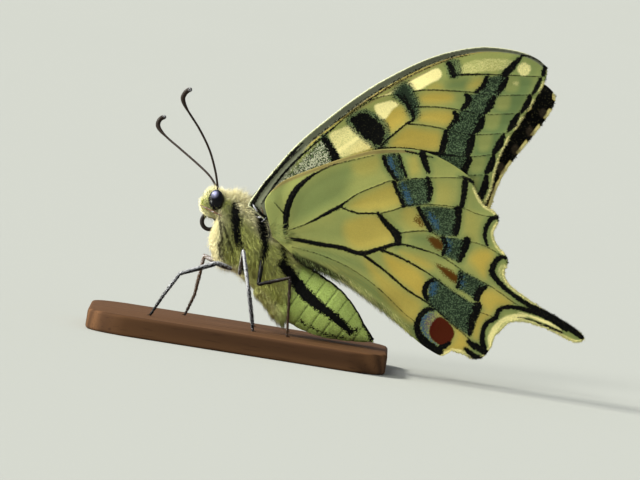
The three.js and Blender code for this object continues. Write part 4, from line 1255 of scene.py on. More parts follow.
def new_group(name, inputs, outputs):
    """An empty node group with float or vector sockets, its tree, its inputs and its output node."""
    group = bpy.data.node_groups.new(name, "ShaderNodeTree")
    for key, kind in inputs.items():
        group.interface.new_socket(key, in_out="INPUT", socket_type=kind)
    for key, kind in outputs.items():
        group.interface.new_socket(key, in_out="OUTPUT", socket_type=kind)
    tree = Tree(group)
    return group, tree, tree.node("NodeGroupInput").outputs, tree.node("NodeGroupOutput").inputs


def scale_group():
    """Overlapping scales: a random number for each scale and a height that falls off towards its edge."""
    if "scales" in bpy.data.node_groups:
        return bpy.data.node_groups["scales"]
    group, tree, given, out = new_group(
        "scales", {"Where": "NodeSocketVector", "Size": "NodeSocketFloat"},
        {"Random": "NodeSocketFloat", "Second": "NodeSocketFloat", "Height": "NodeSocketFloat"})
    inputs = {"Vector": given["Where"], "Scale": tree.math("DIVIDE", 1.0, given["Size"])}
    cells = tree.node("ShaderNodeTexVoronoi", inputs).outputs
    parts = tree.node("ShaderNodeSeparateColor", {0: cells["Color"]}).outputs
    tree.feed(out["Random"], parts[0])
    tree.feed(out["Second"], parts[1])
    tree.feed(out["Height"], tree.math("SUBTRACT", 1.0, cells["Distance"]))
    return group


def powder_group():
    """Dark or bright scales strewn over others: a mask that covers the share that Density gives."""
    if "powder" in bpy.data.node_groups:
        return bpy.data.node_groups["powder"]
    group, tree, given, out = new_group(
        "powder", {"Random": "NodeSocketFloat", "Density": "NodeSocketFloat"}, {"Mask": "NodeSocketFloat"})
    over = tree.math("SUBTRACT", given["Density"], given["Random"])
    tree.feed(out["Mask"], tree.span(over, 0.0, 0.06))
    return group


def ragged_group():
    """A mark with a ragged edge: a mask from the distance beyond the mark's edge."""
    if "ragged edge" in bpy.data.node_groups:
        return bpy.data.node_groups["ragged edge"]
    given = {"Where": "NodeSocketVector", "Distance": "NodeSocketFloat", "Random": "NodeSocketFloat",
             "Rough": "NodeSocketFloat"}
    group, tree, given, out = new_group("ragged edge", given, {"Mask": "NodeSocketFloat"})
    broad = tree.math("SUBTRACT", tree.noise(given["Where"], 4.0, 3.0), 0.5)
    single = tree.math("SUBTRACT", given["Random"], 0.5)
    both = tree.math("ADD", tree.math("MULTIPLY", broad, 0.9), tree.math("MULTIPLY", single, 0.5))
    moved = tree.math("ADD", given["Distance"], tree.math("MULTIPLY", both, given["Rough"]))
    tree.feed(out["Mask"], tree.span(moved, 0.035, -0.035))
    return group


def new_material(name, roughness, specular):
    """A material, its tree, and its main shader node."""
    material = bpy.data.materials.new(name)
    material.use_nodes = True
    tree = Tree(material.node_tree)
    shader = material.node_tree.nodes["Principled BSDF"]
    shader.inputs["Roughness"].default_value = roughness
    shader.inputs["Specular IOR Level"].default_value = specular
    return material, tree, shader


def bump(tree, shader, height, strength, distance):
    inputs = {"Height": height, "Strength": strength, "Distance": distance * MM}
    tree.feed(shader.inputs["Normal"], tree.node("ShaderNodeBump", inputs).outputs["Normal"])


def inked(tree, where, distance, random, rough):
    """The mask of a mark with a ragged edge."""
    return tree.group(ragged_group(), Where=where, Distance=distance, Random=random, Rough=rough)["Mask"]


def wing_material(colours):
    """Scaled wings: grounds and patches, with painted shade, painted glow and painted highlights among them,
    dusted bands, spots of colour, and black over them all.
    """
    material, tree, shader = new_material("painted_wing", 0.9, 0.08)
    where = tree.millimetres()
    number = tree.number
    scales = tree.group(scale_group(), Where=where, Size=0.1)
    grain, other = scales["Random"], scales["Second"]

    def strewn(density, random):
        return tree.group(powder_group(), Random=random, Density=density)["Mask"]

    upper = number("upper")
    drift = tree.span(tree.noise(where, 0.16, 2.0), 0.35, 0.65)
    # The underside's ground is olive, its pale yellow in painted shade; the upperside's is yellow.
    ground = tree.mix(upper, linear(*colours["olive"]), linear(*colours["yellow"]))
    colour = tree.mix(tree.math("MULTIPLY", drift, 0.22), ground, linear(166, 152, 84))
    # Green: the wing's own greenish dusting, and painted shade where other wings lie behind.
    colour = tree.mix(number("cool"), colour, linear(*colours["green"]))
    # Gold: the upperside's warm yellow, and painted glow where light shines through the underside.
    colour = tree.mix(number("warm"), colour, linear(*colours["gold"]))
    cream = number("cream")
    dither = tree.math("ADD", cream, tree.math("MULTIPLY", tree.math("SUBTRACT", other, 0.5), 0.5))
    cover = tree.math("MULTIPLY", tree.span(dither, 0.1, 0.9), cream)
    colour = tree.mix(cover, colour, linear(*colours["cream"]))
    single = tree.math("MULTIPLY", grain, 0.16)
    colour = tree.mix(single, colour, linear(96, 104, 60))
    colour = tree.mix(tree.math("MULTIPLY", number("tan"), 0.7), colour, linear(122, 102, 64))
    colour = tree.mix(number("ash"), colour, linear(116, 120, 98))
    dust = number("dust")
    colour = tree.mix(tree.span(dust, 0.0, 0.6, 0.0, 0.9), colour, linear(74, 96, 70))
    specks = strewn(tree.math("MULTIPLY", dust, 1.3), grain)
    colour = tree.mix(tree.math("MULTIPLY", specks, 0.85), colour, linear(18, 28, 22))
    # Pale scales strewn at the forewing's root, and a painted highlight along its leading edge.
    pearl = strewn(number("pearl"), other)
    colour = tree.mix(tree.math("MULTIPLY", pearl, 0.9), colour, linear(206, 208, 176))
    for key, random in (("blue", other), ("lilac", grain), ("rust", grain), ("eyespot", other)):
        cover = strewn(tree.math("MULTIPLY", number(key), 1.15), random)
        fuller = tree.math("ADD", 0.55, tree.math("MULTIPLY", number(key), 0.43))
        cover = tree.math("MULTIPLY", cover, fuller)
        colour = tree.mix(cover, colour, linear(*colours[key]))
    # Sooty marks: dark scales and hairs, and painted shadow where the hindwing meets the abdomen.
    colour = tree.mix(number("soot"), colour, linear(16, 18, 10))
    fine = inked(tree, where, number("line"), grain, 0.16)
    colour = tree.mix(tree.math("MULTIPLY", fine, 0.85), colour, linear(*colours["black"]))
    rough = tree.span(dust, 0.1, 0.5, 0.36, 0.9)
    ink = inked(tree, where, number("black"), grain, rough)
    powder = tree.math("MULTIPLY", strewn(0.1, other), tree.span(upper, 0.0, 1.0, 0.12, 0.3))
    colour = tree.mix(ink, colour, tree.mix(powder, linear(*colours["black"]), linear(104, 98, 66)))
    brown = tree.math("MULTIPLY", tree.math("MULTIPLY", number("tan"), upper), 0.6)
    colour = tree.mix(brown, colour, linear(84, 72, 56))
    tree.feed(shader.inputs["Base Color"], colour)
    ridge = tree.span(number("vein"), 0.16, 0.0, 0.0, 1.0)
    height = tree.math("ADD", ridge, tree.math("MULTIPLY", scales["Height"], 0.3))
    bump(tree, shader, height, 0.5, 0.05)
    return material


def coat_material(colours):
    """Skin and coat share it: cream fur above and in front, greener painted shade on the flanks, below and
    in patches, black stripes.
    """
    material, tree, shader = new_material("fur", 0.8, 0.15)
    where = tree.millimetres()
    number = tree.number
    scales = tree.group(scale_group(), Where=where, Size=0.12)
    # The cream fur turns to its colour in painted shade on the flanks and below.
    colour = tree.mix(number("shade"), linear(*colours["fur"]), linear(*colours["fur_low"]))
    colour = tree.mix(number("rear"), colour, linear(*colours["fur_rear"]))
    # Painted shade patches darken the flanks to a deep olive.
    colour = tree.mix(number("dusk"), colour, linear(98, 106, 28))
    colour = tree.mix(number("tone"), colour, linear(*colours["fur_dark"]))
    colour = tree.mix(tree.math("MULTIPLY", number("tip"), 0.3), colour, linear(*colours["fur_tip"]))
    colour = tree.mix(tree.math("MULTIPLY", scales["Random"], 0.12), colour, linear(96, 104, 48))
    seam = tree.span(number("seam"), 0.13, 0.04)
    colour = tree.mix(tree.math("MULTIPLY", seam, 0.8), colour, linear(40, 54, 20))
    grain = scales["Second"]
    streak = inked(tree, where, number("streak"), grain, 0.4)
    colour = tree.mix(tree.math("MULTIPLY", streak, 0.85), colour, linear(40, 38, 22))
    ink = inked(tree, where, number("black"), grain, 0.75)
    colour = tree.mix(ink, colour, linear(*colours["black"]))
    tree.feed(shader.inputs["Base Color"], colour)
    bump(tree, shader, scales["Height"], 0.3, 0.04)
    return material


def eye_material():
    material, tree, shader = new_material("faceted_eye", 0.24, 0.15)
    where = tree.millimetres()
    facets = tree.node("ShaderNodeTexVoronoi", {"Vector": where, "Scale": 14.0}).outputs["Distance"]
    shine = tree.noise(where, 0.9, 1.0)
    dark = tree.mix(shine, linear(2, 2, 3), linear(7, 6, 10))
    # A painted highlight: pale violet mixed over the dark eye where the patch lies.
    tree.feed(shader.inputs["Base Color"], tree.mix(tree.number("bloom"), dark, linear(156, 158, 196)))
    bump(tree, shader, facets, 0.1, 0.02)
    return material


def horn_material():
    """Black horn of legs, feelers and tongue, with silvery scales and brown patches where they are told."""
    material, tree, shader = new_material("horn", 0.45, 0.14)
    where = tree.millimetres()
    scales = tree.group(scale_group(), Where=where, Size=0.07)
    worn = tree.span(tree.noise(where, 3.0, 2.0), 0.3, 0.7, 0.0, 0.5)
    colour = tree.mix(worn, linear(3, 3, 4), linear(12, 11, 10))
    colour = tree.mix(tree.number("brown"), colour, linear(96, 72, 50))
    silver = tree.group(powder_group(), Random=scales["Random"], Density=tree.number("pale"))["Mask"]
    colour = tree.mix(tree.math("MULTIPLY", silver, 0.85), colour, linear(188, 190, 194))
    tree.feed(shader.inputs["Base Color"], colour)
    bump(tree, shader, scales["Height"], 0.25, 0.02)
    return material


def wood_material():
    material, tree, shader = new_material("walnut", 0.6, 0.08)
    where = tree.millimetres()
    stretched = tree.node("ShaderNodeMapping", {"Vector": where, "Scale": (0.05, 0.8, 0.8)}).outputs[0]
    waves = {"Vector": stretched, "Scale": 0.22, "Distortion": 9.0, "Detail": 2.0, "Detail Scale": 0.7}
    rings = tree.node("ShaderNodeTexWave", waves, bands_direction="Y").outputs["Fac"]
    fine = tree.node("ShaderNodeMapping", {"Vector": where, "Scale": (0.25, 4.0, 4.0)}).outputs[0]
    pores = tree.noise(fine, 1.0, 3.0)
    colour = tree.mix(rings, linear(70, 48, 31), linear(96, 67, 43))
    colour = tree.mix(tree.span(pores, 0.55, 0.75, 0.0, 0.6), colour, linear(48, 30, 20))
    tree.feed(shader.inputs["Base Color"], colour)
    tree.feed(shader.inputs["Roughness"], tree.span(rings, 0.0, 1.0, 0.8, 0.74))
    bump(tree, shader, pores, 0.15, 0.05)
    return material


def material(name):
    """The material of that name, made the first time it is asked for."""
    made = bpy.data.materials.get(name)
    if made is None:
        made = MAKERS[name]()
    return made


def scene_colours():
    """The colours set in the sidebar, in screen values from 0 to 255."""
    looks = bpy.context.scene.swallowtail_looks
    names = SWALLOWTAIL_PG_looks.__annotations__
    return {key: [value * 255 for value in getattr(looks, key)] for key in names}


MAKERS = {
    "painted_wing": lambda: wing_material(scene_colours()),
    "fur": lambda: coat_material(scene_colours()),
    "faceted_eye": eye_material,
    "horn": horn_material,
    "walnut": wood_material,
}

# ---- Settings ----


def colour_property(name, description, *values):
    default = [value / 255 for value in values]
    return bpy.props.FloatVectorProperty(
        name=name, description=description, default=default, subtype="COLOR_GAMMA", min=0, max=1)


def length_property(name, description, default, least):
    return bpy.props.FloatProperty(
        name=name, description=description, default=default * MM, unit="LENGTH", precision=6, min=least * MM)


def count_property(name, description, default):
    return bpy.props.IntProperty(name=name, description=description, default=default, min=0)


def light_property(name, description, default, precision=2):
    return bpy.props.FloatProperty(
        name=name, description=description, default=default, precision=precision, min=0)


class SWALLOWTAIL_PG_looks(bpy.types.PropertyGroup):
    """Colours of the butterfly."""

    # Painted shade: the underside's pale yellow ground is given darker and greener, as in shade lit by green
    # light.
    olive: colour_property("Olive", "Ground colour of the underside of the wings", 142, 149, 84)
    yellow: colour_property("Yellow", "Ground colour of the upperside of the wings", 214, 190, 96)
    # Green is also the painted shade where other wings lie behind.
    green: colour_property("Green", "Cooler parts of the wings", 92, 114, 70)
    # Gold is also the painted glow of light shining through the underside.
    gold: colour_property("Gold", "Warm patches between the veins", 182, 158, 70)
    # Cream is also the painted sunlight in patches on the forewing's underside.
    cream: colour_property("Cream", "Palest patches of the wings", 250, 238, 164)
    black: colour_property("Black", "Veins, bars and stripes", 5, 6, 5)
    blue: colour_property("Blue", "Blue scales of the hindwing", 46, 80, 108)
    lilac: colour_property("Lilac", "Lilac scales of the eye-spot", 92, 70, 84)
    rust: colour_property("Rust", "Rusty streaks of the hindwing", 78, 44, 4)
    eyespot: colour_property("Eye-spot", "Core of the eye-spot", 68, 13, 2)
    fur: colour_property("Fur", "Fur of the back, front and belly", 250, 241, 196)
    # The fur's colour in painted shade, for the flanks and below.
    fur_low: colour_property("Low fur", "Fur of the flanks", 188, 198, 68)
    fur_rear: colour_property("Abdomen", "Scales of the abdomen", 190, 216, 114)
    fur_dark: colour_property("Dark fur", "Darkest hairs of the pale fur", 98, 108, 34)
    fur_tip: colour_property("Fur tips", "Tips of the hairs", 252, 246, 204)


class SWALLOWTAIL_PG_sizes(bpy.types.PropertyGroup):
    """Sizes of what is built over the solids."""

    sheet_step: length_property("Sheet step", "Size of the triangles of a wing", 0.14, 0.05)
    sheet_thickness: length_property("Sheet thickness", "Thickness of a wing between its veins", 0.09, 0.01)
    hair_radius: length_property("Hair radius", "Radius of a hair at its root", 0.034, 0.005)
    fur_length: length_property("Fur length", "Length of the longest fur, on the thorax", 1.7, 0.1)
    thorax_hairs: count_property("Thorax hairs", "How many hairs the thorax has", 52000)
    wisps: count_property("Wisps", "How many longer hairs stand out of the fur", 15000)
    abdomen_hairs: count_property("Abdomen hairs", "How many hairs the abdomen has", 26000)
    head_hairs: count_property("Head hairs", "How many hairs the head has", 15000)


class SWALLOWTAIL_PG_stage(bpy.types.PropertyGroup):
    """Floor, light and camera."""

    floor: colour_property("Floor", "Colour of the floor", 162, 165, 161)
    key: light_property("Key light", "Strength of the key light", 1.15)
    rim: light_property("Rim light", "Strength of the light from above and ahead", 5.5)
    fill: light_property("Fill light", "Strength of the low light from the front left", 2.6)
    reflector: light_property("Reflector", "Power of the low light beside the base", 0.045, 4)
    room: light_property("Room light", "Strength of the light all round", 0.48)


# ---- Pieces ----


class Builder:
    """What the operators share: a seed for each, so that every run gives the same shapes."""

    bl_options = {"REGISTER", "UNDO"}
    seed = 0

    def execute(self, context):
        self.build(context.scene, np.random.default_rng(self.seed))
        return {"FINISHED"}


class SWALLOWTAIL_OT_stage(Builder, bpy.types.Operator):
    """Lays the floor, hangs the lights and sets the camera square to the insect's left side."""

    bl_idname = "swallowtail.stage"
    bl_label = "Stage"

    def build(self, scene, rng):
        settings = scene.swallowtail_stage
        matrix = insect_matrix()
        look = Matrix(((1, 0, 0, 0), (0, 0, -1, 0), (0, 1, 0, 0), (0, 0, 0, 1)))
        place = matrix @ Vector((CAMERA_OFFSET[0], -CAMERA_DISTANCE, CAMERA_OFFSET[1]))
        camera = bpy.data.objects.new("camera", bpy.data.cameras.new("camera"))
        scene.collection.objects.link(camera)
        camera.matrix_world = Matrix.Translation(place * MM) @ matrix.to_3x3().to_4x4() @ look
        camera.data.sensor_width = SENSOR
        camera.data.lens = SENSOR * CAMERA_DISTANCE / VIEW_WIDTH
        camera.data.clip_start = 0.01
        camera.data.clip_end = 50
        scene.camera = camera

        deselect()
        bpy.ops.mesh.primitive_plane_add(size=FLOOR_SIZE, location=(0, 0, 0))
        floor = bpy.context.active_object
        floor.name = "floor"
        floor_material, tree, shader = new_material("floor", 0.9, 0.1)
        tint = linear(*[value * 255 for value in settings.floor])
        cloud = tree.noise(tree.millimetres(), 0.004, 2.0)
        clouded = tree.mix(tree.math("MULTIPLY", cloud, 0.05), tint, linear(130, 135, 131))
        tree.feed(shader.inputs["Base Color"], clouded)
        floor.data.materials.append(floor_material)

        for name, (softness, way, colour) in SUNS.items():
            sun = self.hang(scene, name, "SUN", getattr(settings, name), colour, Vector(way))
            sun.angle = math.radians(softness)
        # A soft low light beside the base, ahead of the insect, that lifts its breast and belly.
        place = Vector(REFLECTOR_PLACE)
        way = place - Vector(REFLECTOR_AIM)
        spot = self.hang(scene, "reflector", "SPOT", settings.reflector, REFLECTOR_COLOUR, way, place)
        spot.spot_size = math.radians(REFLECTOR_SPREAD)
        spot.spot_blend = 0.6
        spot.shadow_soft_size = REFLECTOR_RADIUS * MM
        world = bpy.data.worlds.new("room")
        world.use_nodes = True
        background = world.node_tree.nodes["Background"]
        background.inputs["Color"].default_value = (0.92, 0.96, 1.0, 1)
        background.inputs["Strength"].default_value = settings.room
        scene.world = world
        scene.view_settings.view_transform = "Standard"

    @staticmethod
    def hang(scene, name, kind, strength, colour, way, place=(0, 0, 0)):
        """Hangs a light whose rays come from the given way, and returns its settings."""
        light = bpy.data.lights.new(name, kind)
        light.energy = strength
        light.color = colour
        lamp = bpy.data.objects.new(name, light)
        lamp.location = Vector(place) * MM
        lamp.rotation_mode = "QUATERNION"
        lamp.rotation_quaternion = way.to_track_quat("Z", "Y")
        scene.collection.objects.link(lamp)
        return light


class SWALLOWTAIL_OT_base(Builder, bpy.types.Operator):
    """Builds the wooden display base: a slab with round corners and eased edges."""

    bl_idname = "swallowtail.base"
    bl_label = "Base"

    def build(self, scene, rng):
        low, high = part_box("stand_base")
        deselect()
        bpy.ops.mesh.primitive_cube_add(size=1, location=(low + high) / 2, scale=high - low)
        base = bpy.context.active_object
        base.name = "display_base"
        bpy.ops.object.transform_apply(location=True, rotation=True, scale=True)
        self.bevel(base, True, BASE_CORNER, 14)
        self.bevel(base, False, BASE_EDGE, 4)
        bpy.ops.object.shade_smooth_by_angle(angle=math.radians(35))
        settle(base, material("walnut"), "base_wood", "stand_base")

    @staticmethod
    def bevel(base, upright, width, segments):
        """Bevels the upright edges of the base, or else those that lie level."""
        bpy.ops.object.mode_set(mode="EDIT")
        bpy.ops.mesh.select_all(action="DESELECT")
        bpy.ops.mesh.select_mode(type="EDGE")
        bpy.ops.object.mode_set(mode="OBJECT")
        for edge in base.data.edges:
            start, end = (base.data.vertices[number].co for number in edge.vertices)
            edge.select = (abs(start.z - end.z) > 1e-6) == upright
        bpy.ops.object.mode_set(mode="EDIT")
        bpy.ops.mesh.bevel(offset=width * MM, offset_type="OFFSET", segments=segments, affect="EDGES")
        bpy.ops.object.mode_set(mode="OBJECT")


class SWALLOWTAIL_OT_skin(Builder, bpy.types.Operator):
    """Builds the one skin of head, palps, thorax and abdomen, which the coat grows from."""

    bl_idname = "swallowtail.skin"
    bl_label = "Skin"

    def build(self, scene, rng):
        points, triangles, uv, station, seam = skin_mesh()
        bundle = Bundle()
        marks = body_marks(points, vertex_normals(points, triangles), smoothstep(10.0, 11.5, station))
        bundle.add(to_upright(points), triangles, uv, seam=seam, tone=0.3, tip=0.0, **marks)
        for side in (-1, 1):
            palp, palp_triangles, palp_uv = palp_mesh(side)
            marks = body_marks(palp, vertex_normals(palp, palp_triangles))
            bundle.add(to_upright(palp), palp_triangles, palp_uv, seam=1.0, tone=0.2, tip=0.0, **marks)
        skin = bundle.build("skin")
        settle(skin, material("fur"), "coat", "head", "thorax", "abdomen", "palp_left", "palp_right")


class SWALLOWTAIL_OT_coat(Builder, bpy.types.Operator):
    """Grows the fur of the head and thorax and the flat hairs of the abdomen as solid bent spikes."""

    bl_idname = "swallowtail.coat"
    bl_label = "Coat"
    seed = 11

    def build(self, scene, rng):
        sizes = scene.swallowtail_sizes
        skin = skin_mesh()
        level = skin[3][skin[1]].mean(1)
        longest = sizes.fur_length / MM
        thorax = (level >= 3.8) & (level < 11.0)
        zones = [
            ("head", sizes.head_hairs, level < 4.2, 0.78, 0.75, 0.55),
            ("thorax", sizes.thorax_hairs, thorax, longest * 0.9, 0.3, 1.1),
            ("wisps", sizes.wisps, (level >= 0.7) & (level < 11.3), longest * 1.15, 0.95, 0.5),
            ("tufts", sizes.wisps // 5, (level >= 8.7) & (level < 11.2), 2.0, 0.98, 0.7),
            ("abdomen", sizes.abdomen_hairs, level >= 10.5, 0.24, 0.06, 0.9),
        ]
        facing = vertex_normals(skin[0], skin[1])[skin[1]].mean(1)
        under = smoothstep(-0.2, -0.7, facing[:, 2])
        verge = 0.1 + 0.9 * smoothstep(0.85, 0.5, np.abs(facing[:, 1]))
        for name, count, weight, length, rise, girth in zones:
            if name == "tufts":
                weight = weight * under
            if name == "wisps":
                weight = weight * verge
            self.grow(name, skin, level, weight.astype(float), count, length, rise,
                      girth * sizes.hair_radius / MM, rng)

    def grow(self, name, skin, level, weight, count, length, rise, radius, rng):
        points, triangles, uv, _, seam = skin
        place, out, root_uv, picked = scattered(points, triangles, uv, weight, count, rng)
        at = level[picked]
        lie = coat_lie(place)
        lie = lie + rng.normal(0, ZONES[name]["stray"], lie.shape)
        lie = unit(lie - out * np.einsum("ij,ij->i", lie, out)[:, None])
        reach = length * rng.uniform(0.6, 1.15, count)
        steep = rise * rng.uniform(0.7, 1.25, count)
        hubs, lock = locks(place, ZONES[name]["lock"], rng)
        hub_tone = rng.random(len(hubs)) ** 1.6
        tone = np.clip(0.85 * hub_tone[lock] + rng.normal(0.0, 0.12, count), 0, 1)
        tone *= ZONES[name]["dark"]
        tone += HEAD_TONE * (name == "head")
        loose = np.zeros(count)
        chin = smoothstep(0.9, 0.1, place[:, 2]) * smoothstep(-5.6, -6.3, place[:, 0]) * (at < 4)
        reach *= 1 + 0.5 * chin
        if name == "head":
            brow = smoothstep(-6.0, -6.9, place[:, 0]) * smoothstep(0.3, 1.2, place[:, 2])
            shorter = np.interp(at, (1.5, 3.2), (1.0, 0.6))
            reach *= rng.uniform(0.55, 1.15, count) * (1 - 0.3 * brow) * shorter
            loose = 1.0 * (rng.random(count) < 0.1)
            reach *= 1 + 0.55 * loose
        if name in ("thorax", "wisps"):
            reach *= np.interp(at, (3.3, 3.8, 4.6, 5.5, 9.5, 10.4, 11.2),
                               (0.45, 0.5, 0.7, 1.0, 1.0, 0.75, 0.45))
            front = smoothstep(0.2, 0.9, -out[:, 0]) * smoothstep(0.9, 0.0, place[:, 2])
            top = smoothstep(0.45, 0.9, out[:, 2]) * (at < 7.5)
            belly = smoothstep(0.2, 0.8, -out[:, 2]) * (at > 6.5)
            if name == "wisps":
                steep = steep - 0.3 * front
                loose = np.maximum(top, 0.6 * belly) * (rng.random(count) < 0.3)
                reach *= 1 + 0.2 * loose
                reach *= 1 - 0.5 * front * (rng.random(count) < 0.92) - 0.1 * top
            else:
                hind = belly * smoothstep(8.0, 9.0, at)
                reach *= (1 - 0.3 * top) * (1 - 0.55 * front) * (1 - 0.45 * hind)
            steep = steep + 0.15 * top - 0.1 * belly
            reach *= 1 - 0.1 * belly
            # Painted light: fewer dark hairs on the top and the front, where the light falls.
            tone *= 1 - 0.7 * np.maximum(top, front)
        steep = steep + 0.5 * loose
        made = hairs(place, lie, out, reach, radius * rng.uniform(0.7, 1.3, count), steep, rng, 0.55)
        pull = (made[hubs, 6] - place[hubs])[lock] + place[hubs][lock]
        drawn = ZONES[name]["drawn"] * rng.uniform(0.4, 1.0, (count, 1)) * (1 - 0.85 * loose[:, None])
        made[:, 6] += (pull - made[:, 6]) * drawn
        gap = seam[triangles[picked]].mean(1)
        rear = smoothstep(10.0, 11.5, at)
        self.split(name, made, root_uv, place, out, tone, gap, rear)

    @staticmethod
    def split(name, made, root_uv, place, out, tone, gap, rear):
        """Deals the hairs out to pieces that each stay under the limit of triangles."""
        parts = math.ceil(len(made) / HAIRS_PER_PIECE)
        order = np.argsort(place[:, 1], kind="stable")
        for number, picked in enumerate(np.array_split(order, parts)):
            bundle = Bundle()
            marks = body_marks(made[picked][:, 3:6].mean(1), out[picked], rear[picked])
            # Painted light: fewer dark hairs where the fur is painted as lit, on the crown and the breast.
            dark = tone[picked] if name == "head" else tone[picked] * (0.12 + 0.88 * marks["shade"])
            add_hairs(bundle, made[picked], root_uv[picked], seam=gap[picked], tone=dark, **marks)
            piece = bundle.build(f"coat_{name}_{number + 1}")
            settle(piece, material("fur"), "coat")


class SWALLOWTAIL_OT_face(Builder, bpy.types.Operator):
    """Builds the eyes, the hair of the palps and the brown edge along each palp."""

    bl_idname = "swallowtail.face"
    bl_label = "Face"
    seed = 23

    def build(self, scene, rng):
        for name, side in (("left", -1), ("right", 1)):
            self.eye(name, side)
        self.palp_hair(rng)
        bundle = Bundle()
        for side in (-1, 1):
            ridge = [(-7.95, side * 1.0, 1.2), (-7.4, side * 1.25, 0.95), (-6.9, side * 1.5, 0.7),
                     (-6.1, side * 1.85, 0.3), (-5.25, side * 1.95, -0.15)]
            line = even_line(ridge, 0.08)
            girth = 0.12 * np.sin(np.linspace(0.25, 2.9, len(line))) + 0.03
            add_horn(bundle, line, girth, 8, 0.12, 0.95)
        settle(bundle.build("palp_edges"), material("horn"), "cuticle")

    @staticmethod
    def eye(name, side):
        x, y, z = EYE["centre"]
        deselect()
        bpy.ops.mesh.primitive_uv_sphere_add(segments=56, ring_count=36, radius=1)
        eye = bpy.context.active_object
        eye.name = f"eye_{name}_ball"
        scale = Matrix.Diagonal((*EYE["radii"], 1))
        ball = np.array([vertex.co for vertex in eye.data.vertices])
        place = insect_matrix() @ Matrix.Translation((x, side * y, z))
        eye.data.transform(Matrix.Scale(MM, 4) @ place @ scale)
        bpy.ops.object.shade_smooth()
        # Painted highlight: a pale soft patch high on the outer side of each eye, facing the light.
        highlight_way = unit(np.array([-0.2, side * 0.7, 0.68]))
        bloom = 0.35 * smoothstep(0.8, 1.0, ball @ highlight_way) + 0.65 * smoothstep(0.95, 0.995, ball @ highlight_way)
        eye.data.attributes.new("bloom", "FLOAT", "POINT").data.foreach_set("value", bloom)
        settle(eye, material("faceted_eye"), "eye", f"eye_{name}")

    @staticmethod
    def palp_hair(rng):
        bundle = Bundle()
        for side in (-1, 1):
            points, triangles, uv = palp_mesh(side)
            even = np.ones(len(triangles))
            place, out, root_uv, _ = scattered(points, triangles, uv, even, PALP_HAIRS, rng)
            lie = unit(np.array([-0.35, side * 0.1, 1.0]) + rng.normal(0, 0.45, (PALP_HAIRS, 3)))
            reach = rng.uniform(0.3, 0.75, PALP_HAIRS)
            made = hairs(place, lie, out, reach, 0.018, 0.75, rng)
            tone = np.clip(rng.normal(0.35, 0.12, PALP_HAIRS), 0, 1)
            add_hairs(bundle, made, root_uv, seam=1.0, tone=tone, **body_marks(place, out))
        settle(bundle.build("palp_hair"), material("fur"), "coat")


class SWALLOWTAIL_OT_feelers(Builder, bpy.types.Operator):
    """Builds the two ringed, clubbed feelers and the coiled tongue."""

    bl_idname = "swallowtail.feelers"
    bl_label = "Feelers and tongue"

    def build(self, scene, rng):
        for name, points in FEELERS.items():
            line = even_line(points, 0.085)
            share = np.linspace(0, 1, len(line))
            girth = FEELER_GIRTH + CLUB_GIRTH * smoothstep(0.74, 0.9, share)
            joint = 1 - np.abs(np.sin(share * math.pi * FEELER_RINGS)) ** 0.5
            girth *= 1 - 0.1 * smoothstep(0.75, 1.0, joint)
            girth[-3:] *= (0.92, 0.75, 0.45)
            girth[:4] *= (1.5, 1.5, 1.3, 1.1)
            ring = point_rings(len(line), HORN_SIDES)
            turned = np.sin(ring / len(line) * math.pi * (2 * FEELER_RINGS))
            band = (turned > 0.75) & (share[ring] < 0.72)
            around = np.sin(np.arange(HORN_SIDES) / HORN_SIDES * 2 * math.pi)
            under = np.r_[0, np.tile(around, len(line)), 0]
            pale = np.where(band, 0.5 * smoothstep(0.0, 0.7, under), 0.0)
            pale = pale + 0.55 * smoothstep(0.955, 1.0, share[ring])
            bundle = Bundle()
            add_horn(bundle, line, girth, HORN_SIDES, pale, 0.12, 0.92)
            settle(bundle.build(f"feeler_{name}"), material("horn"), "cuticle", f"antenna_{name}")
        self.tongue()

    @staticmethod
    def tongue():
        turns = np.linspace(0, 1, 150)
        angle = np.radians(TONGUE["start"] + 360 * TONGUE["turns"] * turns)
        radius = TONGUE["outer"] + (TONGUE["inner"] - TONGUE["outer"]) * turns
        x, z = TONGUE["centre"]
        wander = 0.06 * np.sin(turns * 9)
        line = np.column_stack([x + radius * np.cos(angle), wander, z + radius * np.sin(angle)])
        girth = TONGUE["girth"] * (1 - 0.35 * turns) * (1 + 0.03 * np.sin(turns * 420))
        bundle = Bundle()
        add_horn(bundle, line, girth, HORN_SIDES, 0.0, 0.05)
        settle(bundle.build("tongue_coil"), material("horn"), "cuticle", "proboscis")


